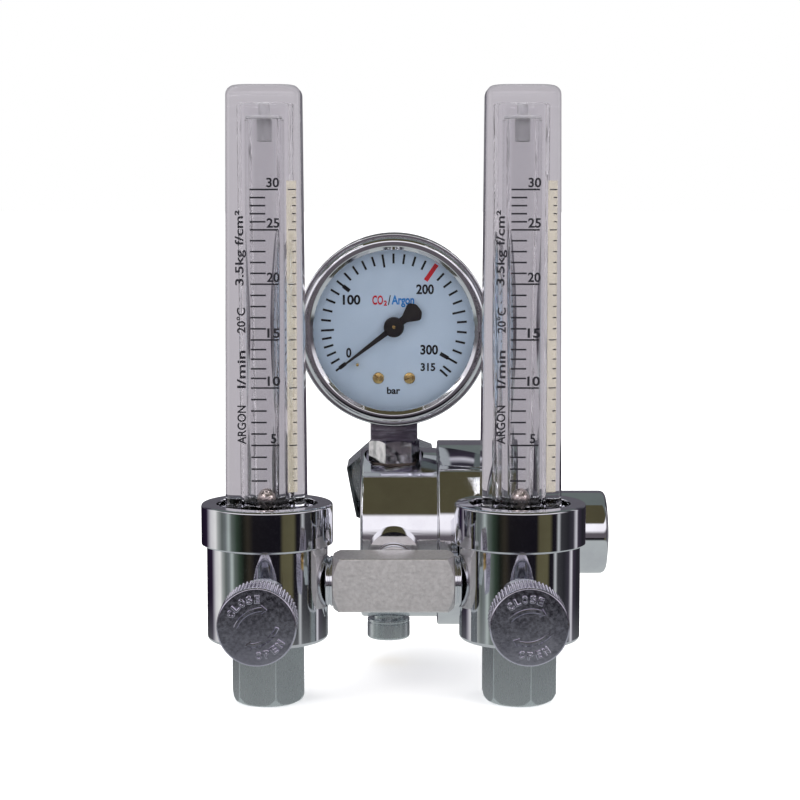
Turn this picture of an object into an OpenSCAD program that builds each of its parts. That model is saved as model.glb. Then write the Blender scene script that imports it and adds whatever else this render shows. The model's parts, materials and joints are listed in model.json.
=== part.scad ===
// Twin-flowmeter gas regulator: one inlet, one preset regulator, one contents gauge and two
// flowmeters with needle valves. +Z is up and the front faces -Y.
// The origin is the centre of the inlet's sealing face, on the inlet nut's axis.

/* [Layout] */
// Distance between the two flowmeter axes
meter_pitch = 80; // [74:1:110]
// Distance from the inlet seat forward to the regulator body's axis
body_reach = 51.5; // [50.5:0.5:64]
// Gap between the bonnet and the clamp ring in front of it
bonnet_gap = 0.1; // [0.1:0.1:10]
// How far the regulator body's axis lies below the inlet axis
body_drop = 10.4; // [8.5:0.1:12.5]
// Height of the clamp rings' top face above the inlet axis
ring_rise = 8; // [6:0.5:10]
// How far the gauge's stem stands in front of the regulator body's axis
gauge_lead = 7.5; // [6:0.1:9]

/* [Clear parts] */
// Outer radius of the metering tube
tube_r = 7; // [5.8:0.1:8.5]
// Gap between the metering tube and the cover's bore
tube_gap = 1.2; // [0.8:0.1:2]
// Wall of the clear cover at its foot, in the middle of a face
cover_wall = 4.3; // [3.2:0.1:6]
// How far each face of the cover leans in from foot to top
cover_draft = 1; // [0.2:0.1:2]
// Radius of the cover's upright corners
cover_corner = 5; // [3.5:0.1:6.5]
// Height of the cover's top above the clamp ring
cover_h = 130.3; // [105:0.1:170]
// Thickness of the cover's roof
cover_roof = 5.4; // [4:0.2:8]
// Thickness of the cover's round flange
flange_t = 4; // [3:0.2:5]
// Depth of the tube's foot below the clamp ring's top
tube_foot = 20; // [18.8:0.2:21.4]
// Radius of the tube's bore at the float's seat
tube_bore_low = 3.55; // [3.5:0.05:3.8]
// Radius of the tube's bore at its top
tube_bore_high = 4.6; // [4.2:0.1:5.2]
// Radius of the gas passage below the float
throat_r = 2.5; // [2:0.1:3]
// Depth of the float's seat below the clamp ring's top
throat_depth = 1.1; // [0:0.1:3]
// Radius of the float ball
ball_r = 3.4; // [3.1:0.05:3.45]
// Length of the stop pin inside the tube
stop_drop = 7; // [4:0.5:12]
// Radius of the stop pin
stop_r = 2.7; // [2:0.1:3.2]

/* [Flowmeter body] */
// Gap between the cover's corners and the hole in the clamp ring's lip
lip_gap = 0.3; // [0.2:0.1:2]
// How far the clamp ring's lip covers the flange
lip_cover = 1.9; // [1.2:0.1:4]
// Wall of the clamp ring round its thread
ring_wall = 2.8; // [2:0.1:5]
// Height of the clamp ring
ring_h = 13; // [11:0.5:16]
// Thickness of the clamp ring's lip
ring_lip = 3; // [2.4:0.1:3.6]
// How far the flowmeter body stands out past its thread
cup_step = 1.1; // [0.6:0.1:2]
// Height of the flowmeter body below the clamp ring
cup_h = 30.4; // [27:0.1:37]
// Gap round the metering tube's foot
chamber_gap = 5; // [4:0.1:6]
// Depth of the clamp ring's top above that space's floor
chamber_floor = 16; // [15:0.5:17]

/* [Valves and outlets] */
// Depth of the valve spindles' axis below the clamp ring's top
valve_depth = 29.4; // [28.8:0.1:31]
// Radius of the valve knobs
knob_r = 11.8; // [9:0.1:15]
// Length of the valve knobs
knob_l = 13.3; // [10:0.1:16]
// Distance from the flowmeter axis to the knob's back
knob_reach = 36.7; // [34:0.1:44]
// Radius of the spindle's stem
stem_r = 3; // [2.5:0.1:3.4]
// Radius of the spindle's thread
spindle_thread_r = 4; // [3.5:0.1:4.8]
// How far the spindle opens
needle_lift = 2.5; // [1.5:0.1:3]
// Radius of the needle's seat
seat_r = 1.25; // [1:0.05:1.4]
// Radius of the gland's thread in the flowmeter body
gland_thread_r = 6; // [5.2:0.1:6.8]
// Width across flats of the gland
gland_af = 14; // [13:0.5:16]
// Width across flats of the outlet hexagon
outlet_af = 21; // [19:0.5:25]
// Height of the outlet hexagon
outlet_h = 20.3; // [16:0.1:25]
// Radius of the outlet's thread bore
outlet_bore_r = 7.4; // [6:0.1:8.4]
// Depth of the outlet's thread bore
outlet_depth = 12; // [9:0.5:14]

/* [Cross bar] */
// Width of the square cross bar
bar_w = 17; // [14:0.1:21]
// Depth of the cross bar's axis below the clamp ring's top
bar_depth = 25.2; // [24.6:0.1:25.6]
// Gap between the cross bar's ends and the flats on the flowmeter bodies
bar_gap = 2.4; // [1.5:0.1:4]
// Radius of the side nipples
nipple_r = 5; // [4:0.1:6]
// Radius of the side nipples' collars
collar_r = 8; // [6.6:0.1:8.4]
// How deep each side nipple screws in
nipple_grip = 8; // [5:0.5:9]
// Radius of the connector between the body and the bar
connector_r = 4.5; // [3.5:0.1:4.8]

/* [Regulator] */
// Radius of the regulator body
body_r = 28.9; // [24:0.1:35]
// Distance from the gauge's plane to the body's closed end
body_left = 11.2; // [9.3:0.1:14]
// Distance from the gauge's plane to the bonnet
body_right = 14.7; // [13:0.1:18]
// Wall of the body round the low-pressure chamber
low_wall = 6.9; // [6:0.1:8]
// How far the bonnet stands out past the body
bonnet_step = 2.7; // [1.8:0.1:5]
// Length of the bonnet
bonnet_l = 21.2; // [19:0.1:26]
// Radius of the main spring, at the middle of its wire
spring_r = 7.2; // [6:0.1:8.8]
// Diameter of the main spring's wire
spring_wire = 2.4; // [1.5:0.1:3]
// Wall of the bonnet's neck round the main spring
neck_skin = 2.4; // [1.6:0.1:4]
// Thickness of the adjuster cap's wall
cap_wall = 1.6; // [1:0.1:3]
// Length of the adjuster's cap
cap_l = 36.6; // [35:0.1:44]
// How far the reducing valve opens
valve_lift = 0.7; // [0.4:0.05:1]
// Radius of the reducing valve's orifice
orifice_r = 1.2; // [0.9:0.1:1.6]
// Radius of the safety valve's head
relief_r = 7.3; // [6.4:0.1:8.8]
// Distance of the safety valve from the gauge's plane, towards the closed end
relief_offset = 1.9; // [0:0.1:2.5]

/* [Gauge] */
// Radius of the gauge's case
case_r = 32.2; // [31:0.1:40]
// Depth of the gauge's case behind the bezel
case_depth = 24; // [20:0.5:29]
// How far the case stands out past the bezel
bezel_step = 1.5; // [0.4:0.1:3]
// Width of the bezel's front band
bezel_band = 4.1; // [2.5:0.1:6]
// Depth of the bezel's front ring
bezel_depth = 4; // [3.6:0.1:5]
// Height of the square socket below the case
socket_h = 5; // [3:0.1:12]
// Width across flats of the gauge's square socket
socket_af = 15.8; // [14:0.2:19]
// Width across flats of the gauge adapter
adapter_af = 15.2; // [14:0.2:18.4]
// Height of the gauge adapter
adapter_h = 7.6; // [5:0.1:10]
// Distance of the pointer's axis above the case's centre
hub_rise = 1; // [0:0.1:2]
// Angle swept by the pointer
pointer_sweep = 260; // [200:1:270]
// Module of the movement's gears
gear_module = 0.3; // [0.25:0.01:0.31]

/* [Inlet] */
// Width across flats of the inlet nut
nut_af = 32; // [28:0.5:39]
// Thickness of the nut's shoulder behind the nipple's collar
nut_shoulder = 5; // [4:0.1:8]
// Radius of the inlet nut's thread bore
nut_bore_r = 9.9; // [9:0.1:12]
// Free length of that thread in front of the sealing face
nut_free = 15; // [12:0.1:18]
// Thickness of the nipple's collar
inlet_collar_t = 5; // [3.5:0.1:6]
// Radius of the nipple's stem
inlet_stem_r = 7.6; // [6.4:0.1:8]

/* [Hidden] */

$fn = 64;
// Radial clearance of screwed and seated pieces
fit = 0.05;
// Radial clearance of turning and sliding pieces
run = 0.08;
// Free gap between neighbours that never touch
gap = 0.3;
// Clearance under a resting float ball
float_gap = 0.02;
// Overlap used so that cuts break cleanly through a face
cut = 0.1;

// Radii that grow outwards from the metering tube
cover_bore_r = tube_r + tube_gap;
cover_base = 2 * (cover_bore_r + cover_wall);
cover_top = cover_base - 2 * cover_draft;
ring_hole_r = (cover_base / 2 - cover_corner) * sqrt(2) + cover_corner + lip_gap;
flange_r = ring_hole_r + lip_cover;
spigot_r = flange_r + 0.2;
cup_r = spigot_r + cup_step;
ring_r = spigot_r + ring_wall;
chamber_r = tube_r + chamber_gap;
cover_seal_r = (chamber_r + flange_r) / 2;

// Heights and places shared by several pieces
bar_z = ring_rise - bar_depth;
bonnet_r = body_r + bonnet_step;
body_y = -body_reach;
meter_y = body_y - (ring_r + bonnet_r + bonnet_gap);
body_z = -body_drop;
stem_y = body_y - gauge_lead;

// Places along the regulator body's axis, measured from the gauge's plane
shoulder_x = body_right + 7.5;
diaphragm_t = 1;
bonnet_end_x = body_right + bonnet_l;
bonnet_wall = 4;
low_r = body_r - low_wall;
bonnet_room_r = low_r + 2;
spigot_x_r = body_r - 0.9;
spring_room_r = spring_r + spring_wire / 2 + 1;
neck_r = spring_room_r + neck_skin;
neck_end_x = bonnet_end_x + 22.7;
neck_wall = 7;
plate_t = 2;
plate_x = shoulder_x + diaphragm_t + run;
spring_x = plate_x + plate_t + run;
button_t = 3;
button_x = neck_end_x - neck_wall - button_t - 2.5;
screw_r = 5;
screw_end_x = neck_end_x + 8;
lock_af = 16;
lock_t = 5;
cap_gap = 0.3;
cap_end_t = 2;
cap_r = neck_r + 0.8 + cap_wall;

// High-pressure side
high_r = 6;
plug_r = 7;
plug_l = 7;
plug_end_x = -body_left + plug_l;
nozzle_x = 6;
nozzle_r = 5;
nozzle_flange_r = 7;
nozzle_flange_t = 2;
poppet_r = 4;
poppet_t = 4;
poppet_pin_r = 0.7;
port_r = 1.5;
hub_r = 3;

// Front boss of the body and the connector into the cross bar
boss_r = 8.5;
boss_rise = 3;
connector_z = bar_z + 2;
boss_low = connector_z - body_z;
connector_collar_r = 7.5;
bar_back_y = meter_y + bar_w / 2;
boss_front_y = bar_back_y + 4;
bar_bore_r = 3.2;

// Safety valve, measured down from the body's lowest line
relief_x = -relief_offset;
relief_top_z = body_z - body_r;
relief_thread_r = 5.5;
relief_neck = 1;
relief_head = 6.7;
relief_grip = 8;
relief_bore_r = 4.2;
relief_roof = 2.4;
relief_disc_t = 1.8;
relief_bottom_z = relief_top_z - relief_neck - relief_head;
relief_screw_t = 3.6;

// Gauge, measured up from the body and along Y
spot_z = body_z + body_r - 4;
washer_t = 0.8;
adapter_z = spot_z + washer_t;
socket_z = adapter_z + adapter_h;
adapter_thread_r = 6;
adapter_grip = 8;
stem_thread_r = 4.6;
gauge_rise = socket_z + socket_h + case_r;
socket_top_z = gauge_rise - 18.3;
bezel_r = case_r - bezel_step;
bezel_open_r = bezel_r - bezel_band;
bezel_lead = socket_af / 2 + bezel_depth + 0.1;
pointer_l = bezel_open_r - 5.6;
bezel_y = stem_y - bezel_lead;
case_front_y = bezel_y + bezel_depth;
case_back_y = case_front_y + case_depth;
case_wall = 1.4;
window_y = bezel_y + 1.4;
window_t = 2;
window_r = bezel_r - 1.8;
bezel_skirt = 2.5;
gasket_t = 1;
dial_y = case_front_y + bezel_skirt + 0.5;
dial_t = 0.6;
hub_z = gauge_rise + hub_rise;
column_w = 12;
column_y = dial_y + 3.01;

// Movement
pinion_teeth = 10;
sector_full_teeth = 100;
tooth_add = 0.7 * gear_module;
tooth_ded = 1.15 * gear_module;
tooth_width = 0.3;
pinion_pitch_r = gear_module * pinion_teeth / 2;
sector_pitch_r = gear_module * sector_full_teeth / 2;
pivot_drop = pinion_pitch_r + sector_pitch_r;
front_plate_y = dial_y + 2.2;
plate_gap_y = 5.4;
column_d = plate_gap_y - 0.02;
movement_t = 0.8;
arbor_r = 0.6;
arbor_boss_r = 1.5;
sector_y = front_plate_y + movement_t + 1.6;
sector_t = 1.2;
tail_l = 7;
zero_angle = 217.3;
tube_bend_r = 22;
tube_bend_t = 3;
tube_bend_w = 7;
tube_bend_y = column_y + 0.2;
tube_start = 289;
tube_sweep = 275;
dial_screw_x = 5.2;
dial_screw_z = hub_z - 17.2;
pointer_y = dial_y - 2.8;
pointer_t = 0.6;
stop_angle = 226;
stop_ring_r = 17.5;

// Inlet
seat_recess = 0.4;
nut_shoulder_y = -(seat_recess + inlet_collar_t + 0.6);
nut_near_y = nut_shoulder_y - nut_shoulder;
inlet_collar_r = nut_bore_r - 0.4;
nut_relief_r = nut_bore_r + 0.6;
nut_stem_gap = 0.4;
// Turn of the nut's first corner away from +X
nut_turn = 19;
washer_soft_t = 1.1;
washer_soft_r = 7.4;
inlet_bore_r = 3;
inlet_thread_r = 7.6;
inlet_grip = 9;
inlet_boss_r = 11;
inlet_boss_y = body_y + body_r + 1.1;
filter_r = 3.6;
filter_l = 5;

// Flowmeter, measured from the clamp ring's top
cup_top = -(ring_lip + flange_t + 0.3);
cup_low = -(ring_h + cup_h);
stop_seat = cover_h - cover_roof - 4.9;
tube_h = stop_seat;
stop_flange_t = 1;
ball_rest = -throat_depth + sqrt(pow(ball_r + float_gap, 2) - pow(throat_r, 2));
flat_depth = 0.6;
side_flat = cup_r - flat_depth;
feed_r = 1.8;
drain_r = 1.2;
drain_y = -(chamber_r - drain_r - 0.2);
valve_seat_y = drain_y + 2.6;
valve_room_r = 4;
valve_room_y = drain_y - 1.4;
gland_face_y = -cup_r - 0.4;
gland_hex_l = 7.6;
gland_end_y = gland_face_y - gland_hex_l - 3;
gland_groove_y = gland_end_y + 2.9;
gland_groove_l = 1.8;
gland_bore_y = gland_end_y + 6.6;
needle_tip_y = valve_seat_y + 2;
stem_end_y = -(knob_reach + knob_l) + 4;
outlet_thread_r = 8;
outlet_grip = 7;
outlet_way_r = 4;

module rod_x(x0, x1, r) translate([x0, 0, 0]) rotate([0, 90, 0]) cylinder(h = x1 - x0, r = r);
module rod_y(y0, y1, r) translate([0, y0, 0]) rotate([-90, 0, 0]) cylinder(h = y1 - y0, r = r);
module rod_z(z0, z1, r) translate([0, 0, z0]) cylinder(h = z1 - z0, r = r);

// A prism with six sides along Z, given its width across flats
module hex_z(z0, z1, af) translate([0, 0, z0]) cylinder(h = z1 - z0, r = af / sqrt(3), $fn = 6);

// Shapes turned about X, Y or Z from points of [radius, position]
module turned_z(points) rotate_extrude() polygon(points);
module turned_x(points) rotate([0, 90, 0]) turned_z(points);
module turned_y(points) rotate([-90, 0, 0]) turned_z(points);

// A ring of round section about Z
module o_ring(r, wire) rotate_extrude() translate([r, 0]) circle(r = wire, $fn = 24);

// Moves a child onto a flowmeter: side is -1 for the left one and 1 for the right one
module at_meter(side) translate([side * meter_pitch / 2, meter_y, ring_rise]) children();

// Moves a child onto the regulator body's axis
module at_body() translate([0, body_y, body_z]) children();

// A coil of round wire along X, as one swept solid with flat ends
function coil_point(t, r, x0, x1, turns) =
    [x0 + (x1 - x0) * t, r * cos(360 * turns * t), r * sin(360 * turns * t)];
module coil(x0, x1, r, wire, turns, sides = 6, per_turn = 14) {
    steps = turns * per_turn;
    w = wire / 2;
    points = [for (i = [0:steps]) for (k = [0:sides - 1])
        let (a = 360 * turns * i / steps, c = coil_point(i / steps, r, x0, x1, turns),
             b = 360 * k / sides)
        [c[0] + w * sin(b), c[1] + w * cos(b) * cos(a), c[2] + w * cos(b) * sin(a)]];
    faces = concat(
        [[for (k = [0:sides - 1]) k]],
        [for (i = [0:steps - 1]) for (k = [0:sides - 1])
            let (n = (k + 1) % sides) [i * sides + k, (i + 1) * sides + k, (i + 1) * sides + n]],
        [for (i = [0:steps - 1]) for (k = [0:sides - 1])
            let (n = (k + 1) % sides) [i * sides + k, (i + 1) * sides + n, i * sides + n]],
        [[for (k = [sides - 1:-1:0]) steps * sides + k]]);
    polyhedron(points = points, faces = faces);
}

module regulator_body() color("silver") {
    edge = 2;
    difference() {
        union() {
            at_body() turned_x([[0, -body_left], [body_r - edge, -body_left],
                [body_r, -body_left + edge], [body_r, body_right], [spigot_x_r, body_right],
                [spigot_x_r, shoulder_x], [0, shoulder_x]]);
            // Cast boss for the outlet connector
            at_body() rotate([90, 0, 0]) linear_extrude(body_y - boss_front_y) {
                translate([0, boss_low + boss_rise]) circle(r = boss_r);
                translate([0, boss_low]) circle(r = boss_r);
                translate([-boss_r, boss_low]) square([2 * boss_r, boss_rise]);
            }
            // Cast boss for the inlet nipple
            rod_y(body_y, inlet_boss_y, inlet_boss_r);
        }
        // Chambers along the body's axis
        at_body() {
            rod_x(body_right - 0.5, shoulder_x + cut, low_r);
            rod_x(plug_end_x, nozzle_x, high_r);
            rod_x(-body_left - cut, plug_end_x + cut, plug_r + fit);
            rod_x(nozzle_x - cut, body_right, nozzle_r + fit);
        }
        // Inlet port
        rod_y(inlet_boss_y - inlet_grip, inlet_boss_y + cut, inlet_thread_r + fit);
        rod_y(stem_y, inlet_boss_y, inlet_bore_r);
        // Gauge port with its spot face
        translate([0, stem_y, 0]) {
            rod_z(spot_z, spot_z + 8, 10);
            rod_z(spot_z - adapter_grip - 1, spot_z + cut, adapter_thread_r + fit);
            rod_z(0, spot_z, 2);
        }
        translate([0, body_y, 0]) rod_z(body_z, 0, 2);
        // Outlet port and its drilling from the low-pressure chamber
        translate([0, 0, connector_z]) {
            rod_y(boss_front_y - cut, boss_front_y + 8.5, connector_r + fit);
            rod_y(boss_front_y, body_y - low_r + 4, port_r);
        }
        translate([0, body_y - low_r + 2, connector_z]) rod_x(-port_r, body_right, port_r);
        // Safety valve port and its drilling
        translate([relief_x, body_y, 0]) {
            rod_z(relief_top_z - 1, relief_top_z + relief_grip + 0.5, relief_thread_r + fit);
            rod_z(relief_top_z + relief_grip, relief_top_z + relief_grip + 2, 2);
            translate([0, 0, relief_top_z + relief_grip + 1]) rod_x(0, body_right - relief_x, port_r);
        }
        // Flat under the safety valve's head
        translate([relief_x, body_y, relief_top_z - 1]) cylinder(h = 1.5, r = relief_r + 1);
    }
}

module bonnet() color("silver") {
    chamfer = 1.5;
    at_body() difference() {
        turned_x([[0, body_right + 0.1], [bonnet_r - 0.6, body_right + 0.1],
            [bonnet_r, body_right + 0.7], [bonnet_r, bonnet_end_x - chamfer],
            [bonnet_r - chamfer, bonnet_end_x], [cap_r - cap_wall - fit, bonnet_end_x],
            [cap_r - cap_wall - fit, bonnet_end_x + 4], [neck_r, bonnet_end_x + 4.5],
            [neck_r, neck_end_x], [0, neck_end_x]]);
        rod_x(body_right, shoulder_x + diaphragm_t + 0.02, spigot_x_r + fit);
        rod_x(body_right, bonnet_end_x - bonnet_wall, bonnet_room_r);
        rod_x(bonnet_end_x - bonnet_wall - cut, neck_end_x - neck_wall, spring_room_r);
        rod_x(neck_end_x - neck_wall - cut, neck_end_x + cut, screw_r + fit);
        // Vent hole of the spring chamber
        translate([(body_right + bonnet_end_x) / 2 + 4, 0, -bonnet_r - 1]) cylinder(h = 10, r = 1.2);
    }
}

module adjuster_cap() color("silver") {
    start = bonnet_end_x + cap_gap;
    end = bonnet_end_x + cap_l;
    edge = 4;
    at_body() difference() {
        turned_x([[0, start], [cap_r - 0.5, start], [cap_r, start + 0.5],
            for (a = [0:15:90]) [cap_r - edge + edge * cos(a), end - edge + edge * sin(a)],
            [0, end + 0.9]]);
        rod_x(start - cut, end - cap_end_t - 2, cap_r - cap_wall);
    }
}

module adjusting_screw() color("dimgray") {
    at_body() difference() {
        turned_x([[0, button_x + button_t + run], [screw_r - 1, button_x + button_t + run],
            [screw_r, button_x + button_t + 1], [screw_r, screw_end_x - 0.8],
            [screw_r - 0.8, screw_end_x], [0, screw_end_x]]);
        // Socket for a hexagon key
        rotate([0, 90, 0]) hex_z(screw_end_x - 4, screw_end_x + cut, 5);
    }
}

module adjuster_lock_nut() color("dimgray") {
    at_body() rotate([0, 90, 0]) difference() {
        hex_z(neck_end_x + run, neck_end_x + run + lock_t, lock_af);
        rod_z(neck_end_x, neck_end_x + lock_t + 1, screw_r + fit);
    }
}

module spring_button() color("dimgray") {
    at_body() difference() {
        rod_x(button_x, button_x + button_t, spring_room_r - gap);
        rod_x(button_x + button_t - 1, button_x + button_t + cut, screw_r + 1);
    }
    at_body() rod_x(button_x + button_t - 1, button_x + button_t, 2);
}

module main_spring() color("gray") {
    half = spring_wire / 2;
    at_body() coil(spring_x + half, button_x - half - 0.02, spring_r, spring_wire, 5);
}

module diaphragm() color("dimgray") {
    at_body() difference() {
        rod_x(shoulder_x, shoulder_x + diaphragm_t, spigot_x_r - fit);
        rod_x(shoulder_x - cut, shoulder_x + diaphragm_t + cut, hub_r + gap);
    }
}

module diaphragm_plate() color("goldenrod") {
    at_body() {
        rod_x(plate_x, plate_x + plate_t, 17);
        rod_x(plate_x - 4, plate_x + plate_t, hub_r);
        rod_x(plate_x + plate_t - 0.1, plate_x + plate_t + 3, spring_r - spring_wire / 2 - gap);
    }
}

module valve_nozzle() color("goldenrod") {
    at_body() difference() {
        union() {
            rod_x(nozzle_x + 0.5, body_right - 0.45, nozzle_r);
            rod_x(body_right - 0.45, body_right + nozzle_flange_t, nozzle_flange_r);
            turned_x([[0, nozzle_x], [orifice_r + 0.6, nozzle_x], [orifice_r + 1.6, nozzle_x + 0.6],
                [0, nozzle_x + 0.6]]);
        }
        rod_x(nozzle_x - cut, body_right + nozzle_flange_t + cut, orifice_r);
    }
}

module valve_poppet() color("goldenrod") {
    end = nozzle_x - valve_lift - run;
    at_body() {
        difference() {
            rod_x(end - poppet_t, end, poppet_r);
            rod_x(end - poppet_t - cut, end - poppet_t + 1, 2);
        }
        rod_x(end - 0.5, plate_x - 4, poppet_pin_r);
    }
}

module poppet_spring() color("gray") {
    end = nozzle_x - valve_lift - run - poppet_t;
    at_body() coil(plug_end_x + 0.6, end - 0.5, 3, 0.8, 4, sides = 6, per_turn = 12);
}

module valve_plug() color("goldenrod") {
    at_body() difference() {
        rod_x(-body_left + 0.1, plug_end_x, plug_r);
        rod_x(-body_left, -body_left + 3, 3);
    }
}

module inlet_nut() color("silver") {
    far = nut_free;
    near = nut_near_y;
    chamfer = 1.6;
    corner_r = nut_af / sqrt(3);
    rotate([0, nut_turn, 0]) difference() {
        intersection() {
            rotate([-90, 0, 0]) hex_z(near, far, nut_af);
            turned_y([[0, near], [corner_r - chamfer * 1.5, near], [corner_r + 0.2, near + chamfer],
                [corner_r + 0.2, far - chamfer], [corner_r - chamfer * 1.5, far], [0, far]]);
        }
        rod_y(near - cut, far, inlet_stem_r + nut_stem_gap);
        rod_y(nut_shoulder_y, 0, nut_relief_r);
        rod_y(-cut, far + cut, nut_bore_r);
    }
}

module inlet_nipple() color("goldenrod") {
    shoulder = inlet_boss_y;
    difference() {
        union() {
            rod_y(shoulder - inlet_grip + 0.3, shoulder, inlet_thread_r);
            rod_y(shoulder, -seat_recess - inlet_collar_t + 0.1, inlet_stem_r);
            turned_y([[0, -seat_recess - inlet_collar_t], [inlet_collar_r, -seat_recess - inlet_collar_t],
                [inlet_collar_r, -seat_recess - 0.6], [inlet_collar_r - 0.6, -seat_recess],
                [0, -seat_recess]]);
        }
        rod_y(shoulder - inlet_grip, cut, inlet_bore_r);
        rod_y(-seat_recess - washer_soft_t - 8, cut, filter_r + fit);
        rod_y(-washer_soft_t - seat_recess, cut, washer_soft_r + fit);
    }
}

module inlet_filter() color("darkgoldenrod") {
    rod_y(-seat_recess - washer_soft_t - 0.5 - filter_l, -seat_recess - washer_soft_t - 0.5, filter_r);
}

module inlet_washer() color("white") {
    difference() {
        rod_y(-seat_recess - washer_soft_t, 0, washer_soft_r);
        rod_y(-seat_recess - washer_soft_t - cut, cut, inlet_bore_r + 0.5);
    }
}

module relief_body() color("silver") {
    head_top = relief_top_z - relief_neck;
    round_edge = 1.6;
    translate([relief_x, body_y, 0]) difference() {
        turned_z([[0, relief_bottom_z], [relief_r - round_edge, relief_bottom_z],
            for (a = [-75:15:0]) [relief_r - round_edge + round_edge * cos(a),
                relief_bottom_z + round_edge + round_edge * sin(a)],
            [relief_r, head_top], [relief_thread_r, head_top],
            [relief_thread_r, relief_top_z + relief_grip], [0, relief_top_z + relief_grip]]);
        rod_z(relief_bottom_z - cut, relief_top_z + relief_grip - relief_roof, relief_bore_r);
        rod_z(relief_top_z, relief_top_z + relief_grip + cut, port_r);
    }
}

module relief_disc() color("black") {
    top = relief_top_z + relief_grip - relief_roof - run;
    translate([relief_x, body_y, 0]) {
        rod_z(top - relief_disc_t, top, relief_bore_r - 0.4);
        rod_z(top - relief_disc_t - 1.2, top - relief_disc_t + 0.1, 1.6);
    }
}

module relief_spring() color("gray") {
    top = relief_top_z + relief_grip - relief_roof - run - relief_disc_t;
    low = relief_bottom_z + relief_screw_t + 0.5;
    translate([relief_x, body_y, 0]) rotate([0, -90, 0])
        coil(low + 0.45, top - 0.45, 2.9, 0.8, 5, sides = 6, per_turn = 12);
}

module relief_screw() color("goldenrod") {
    translate([relief_x, body_y, 0]) difference() {
        rod_z(relief_bottom_z + 0.5, relief_bottom_z + 0.5 + relief_screw_t, relief_bore_r - fit);
        rod_z(relief_bottom_z, relief_bottom_z + relief_screw_t + 1, 1.2);
        translate([-relief_bore_r, -0.5, relief_bottom_z]) cube([2 * relief_bore_r, 1, 1.5]);
    }
}

module gauge_adapter() color("silver") {
    corner_r = adapter_af / sqrt(3);
    translate([0, stem_y, 0]) difference() {
        union() {
            intersection() {
                rotate([0, 0, 12]) hex_z(adapter_z, socket_z, adapter_af);
                turned_z([[0, adapter_z], [corner_r + cut, adapter_z], [corner_r + cut, socket_z - 0.8],
                    [corner_r - 0.9, socket_z], [0, socket_z]]);
            }
            rod_z(spot_z - adapter_grip, adapter_z + cut, adapter_thread_r);
        }
        rod_z(spot_z - adapter_grip + 3, socket_z + cut, stem_thread_r + fit);
        rod_z(spot_z - adapter_grip - cut, socket_z, 1.5);
    }
}

module gauge_socket() color("tan") {
    half = socket_af / 2;
    edge = 1.2;
    translate([0, stem_y, 0]) {
        difference() {
            union() {
                // Square part below the case
                translate([0, 0, socket_z + 0.05]) linear_extrude(socket_h + 11) intersection() {
                    square([socket_af, socket_af], center = true);
                    rotate(45) square([socket_af * sqrt(2) - edge, socket_af * sqrt(2) - edge],
                        center = true);
                }
                rod_z(spot_z - adapter_grip + 3.3, socket_z + 1, stem_thread_r);
            }
            translate([0, 0, gauge_rise]) rod_y(-60, 60, case_r + fit);
            rod_z(spot_z - adapter_grip, socket_z + 14, 1.5);
        }
        // Column inside the case
        difference() {
            translate([-column_w / 2, column_y - stem_y, socket_z + 2])
                cube([column_w, column_d, socket_top_z - socket_z - 2]);
            rod_z(socket_z - 5, socket_z + 14, 1.5);
        }
    }
}

module gauge_case() color("silver") {
    edge = 2;
    translate([0, 0, gauge_rise]) difference() {
        turned_y([[0, case_front_y], [case_r - 0.6, case_front_y], [case_r, case_front_y + 0.6],
            for (a = [0:15:90]) [case_r - edge + edge * cos(a), case_back_y - edge + edge * sin(a)],
            [0, case_back_y]]);
        rod_y(case_front_y - cut, case_back_y - case_wall, case_r - case_wall);
        // Slot for the socket's column
        translate([-column_w / 2 - fit, column_y - fit, -case_r - 2])
            cube([column_w + 2 * fit, column_d + 2 * fit, 10]);
    }
}

module gauge_bezel() color("silver") {
    translate([0, 0, gauge_rise]) difference() {
        turned_y([[0, bezel_y], [bezel_r - 1.6, bezel_y], [bezel_r - 0.5, bezel_y + 0.5],
            [bezel_r, bezel_y + 1.6], [bezel_r, case_front_y - 0.05],
            [case_r - case_wall - fit, case_front_y - 0.05],
            [case_r - case_wall - fit, case_front_y + bezel_skirt], [0, case_front_y + bezel_skirt]]);
        turned_y([[0, bezel_y - cut], [bezel_open_r + 1.2, bezel_y - cut],
            [bezel_open_r, window_y - 0.2], [bezel_open_r, window_y + cut], [0, window_y + cut]]);
        rod_y(window_y, case_front_y + bezel_skirt + cut, window_r + fit);
    }
}

module gauge_window() color("azure", 0.3) {
    translate([0, 0, gauge_rise]) rod_y(window_y + 0.02, window_y + window_t, window_r);
}

module window_gasket() color("black") {
    translate([0, 0, gauge_rise]) difference() {
        rod_y(window_y + window_t + 0.02, window_y + window_t + gasket_t, window_r - fit);
        rod_y(window_y, window_y + 9, window_r - 2);
    }
}

module gauge_dial() color("lightsteelblue") {
    translate([0, 0, gauge_rise]) difference() {
        rod_y(dial_y, dial_y + dial_t, case_r - case_wall - 0.4);
        translate([0, 0, hub_rise]) rod_y(dial_y - cut, dial_y + dial_t + cut, arbor_boss_r + gap);
        for (side = [-1, 1]) translate([side * dial_screw_x, 0, dial_screw_z - gauge_rise])
            rod_y(dial_y - cut, dial_y + dial_t + cut, 1);
    }
    // Stop pin that the pointer rests against
    translate([stop_ring_r * cos(stop_angle), 0, hub_z + stop_ring_r * sin(stop_angle)])
        rod_y(dial_y - 3, dial_y + 0.1, 0.5);
}

module dial_screws() color("goldenrod") {
    for (side = [-1, 1]) translate([side * dial_screw_x, 0, dial_screw_z]) difference() {
        union() {
            rod_y(dial_y - 0.9, dial_y - 0.02, 1.9);
            rod_y(dial_y - 0.1, front_plate_y + movement_t, 0.95);
        }
        translate([-2, dial_y - 1, -0.25]) cube([4, 0.5, 0.5]);
    }
}

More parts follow.
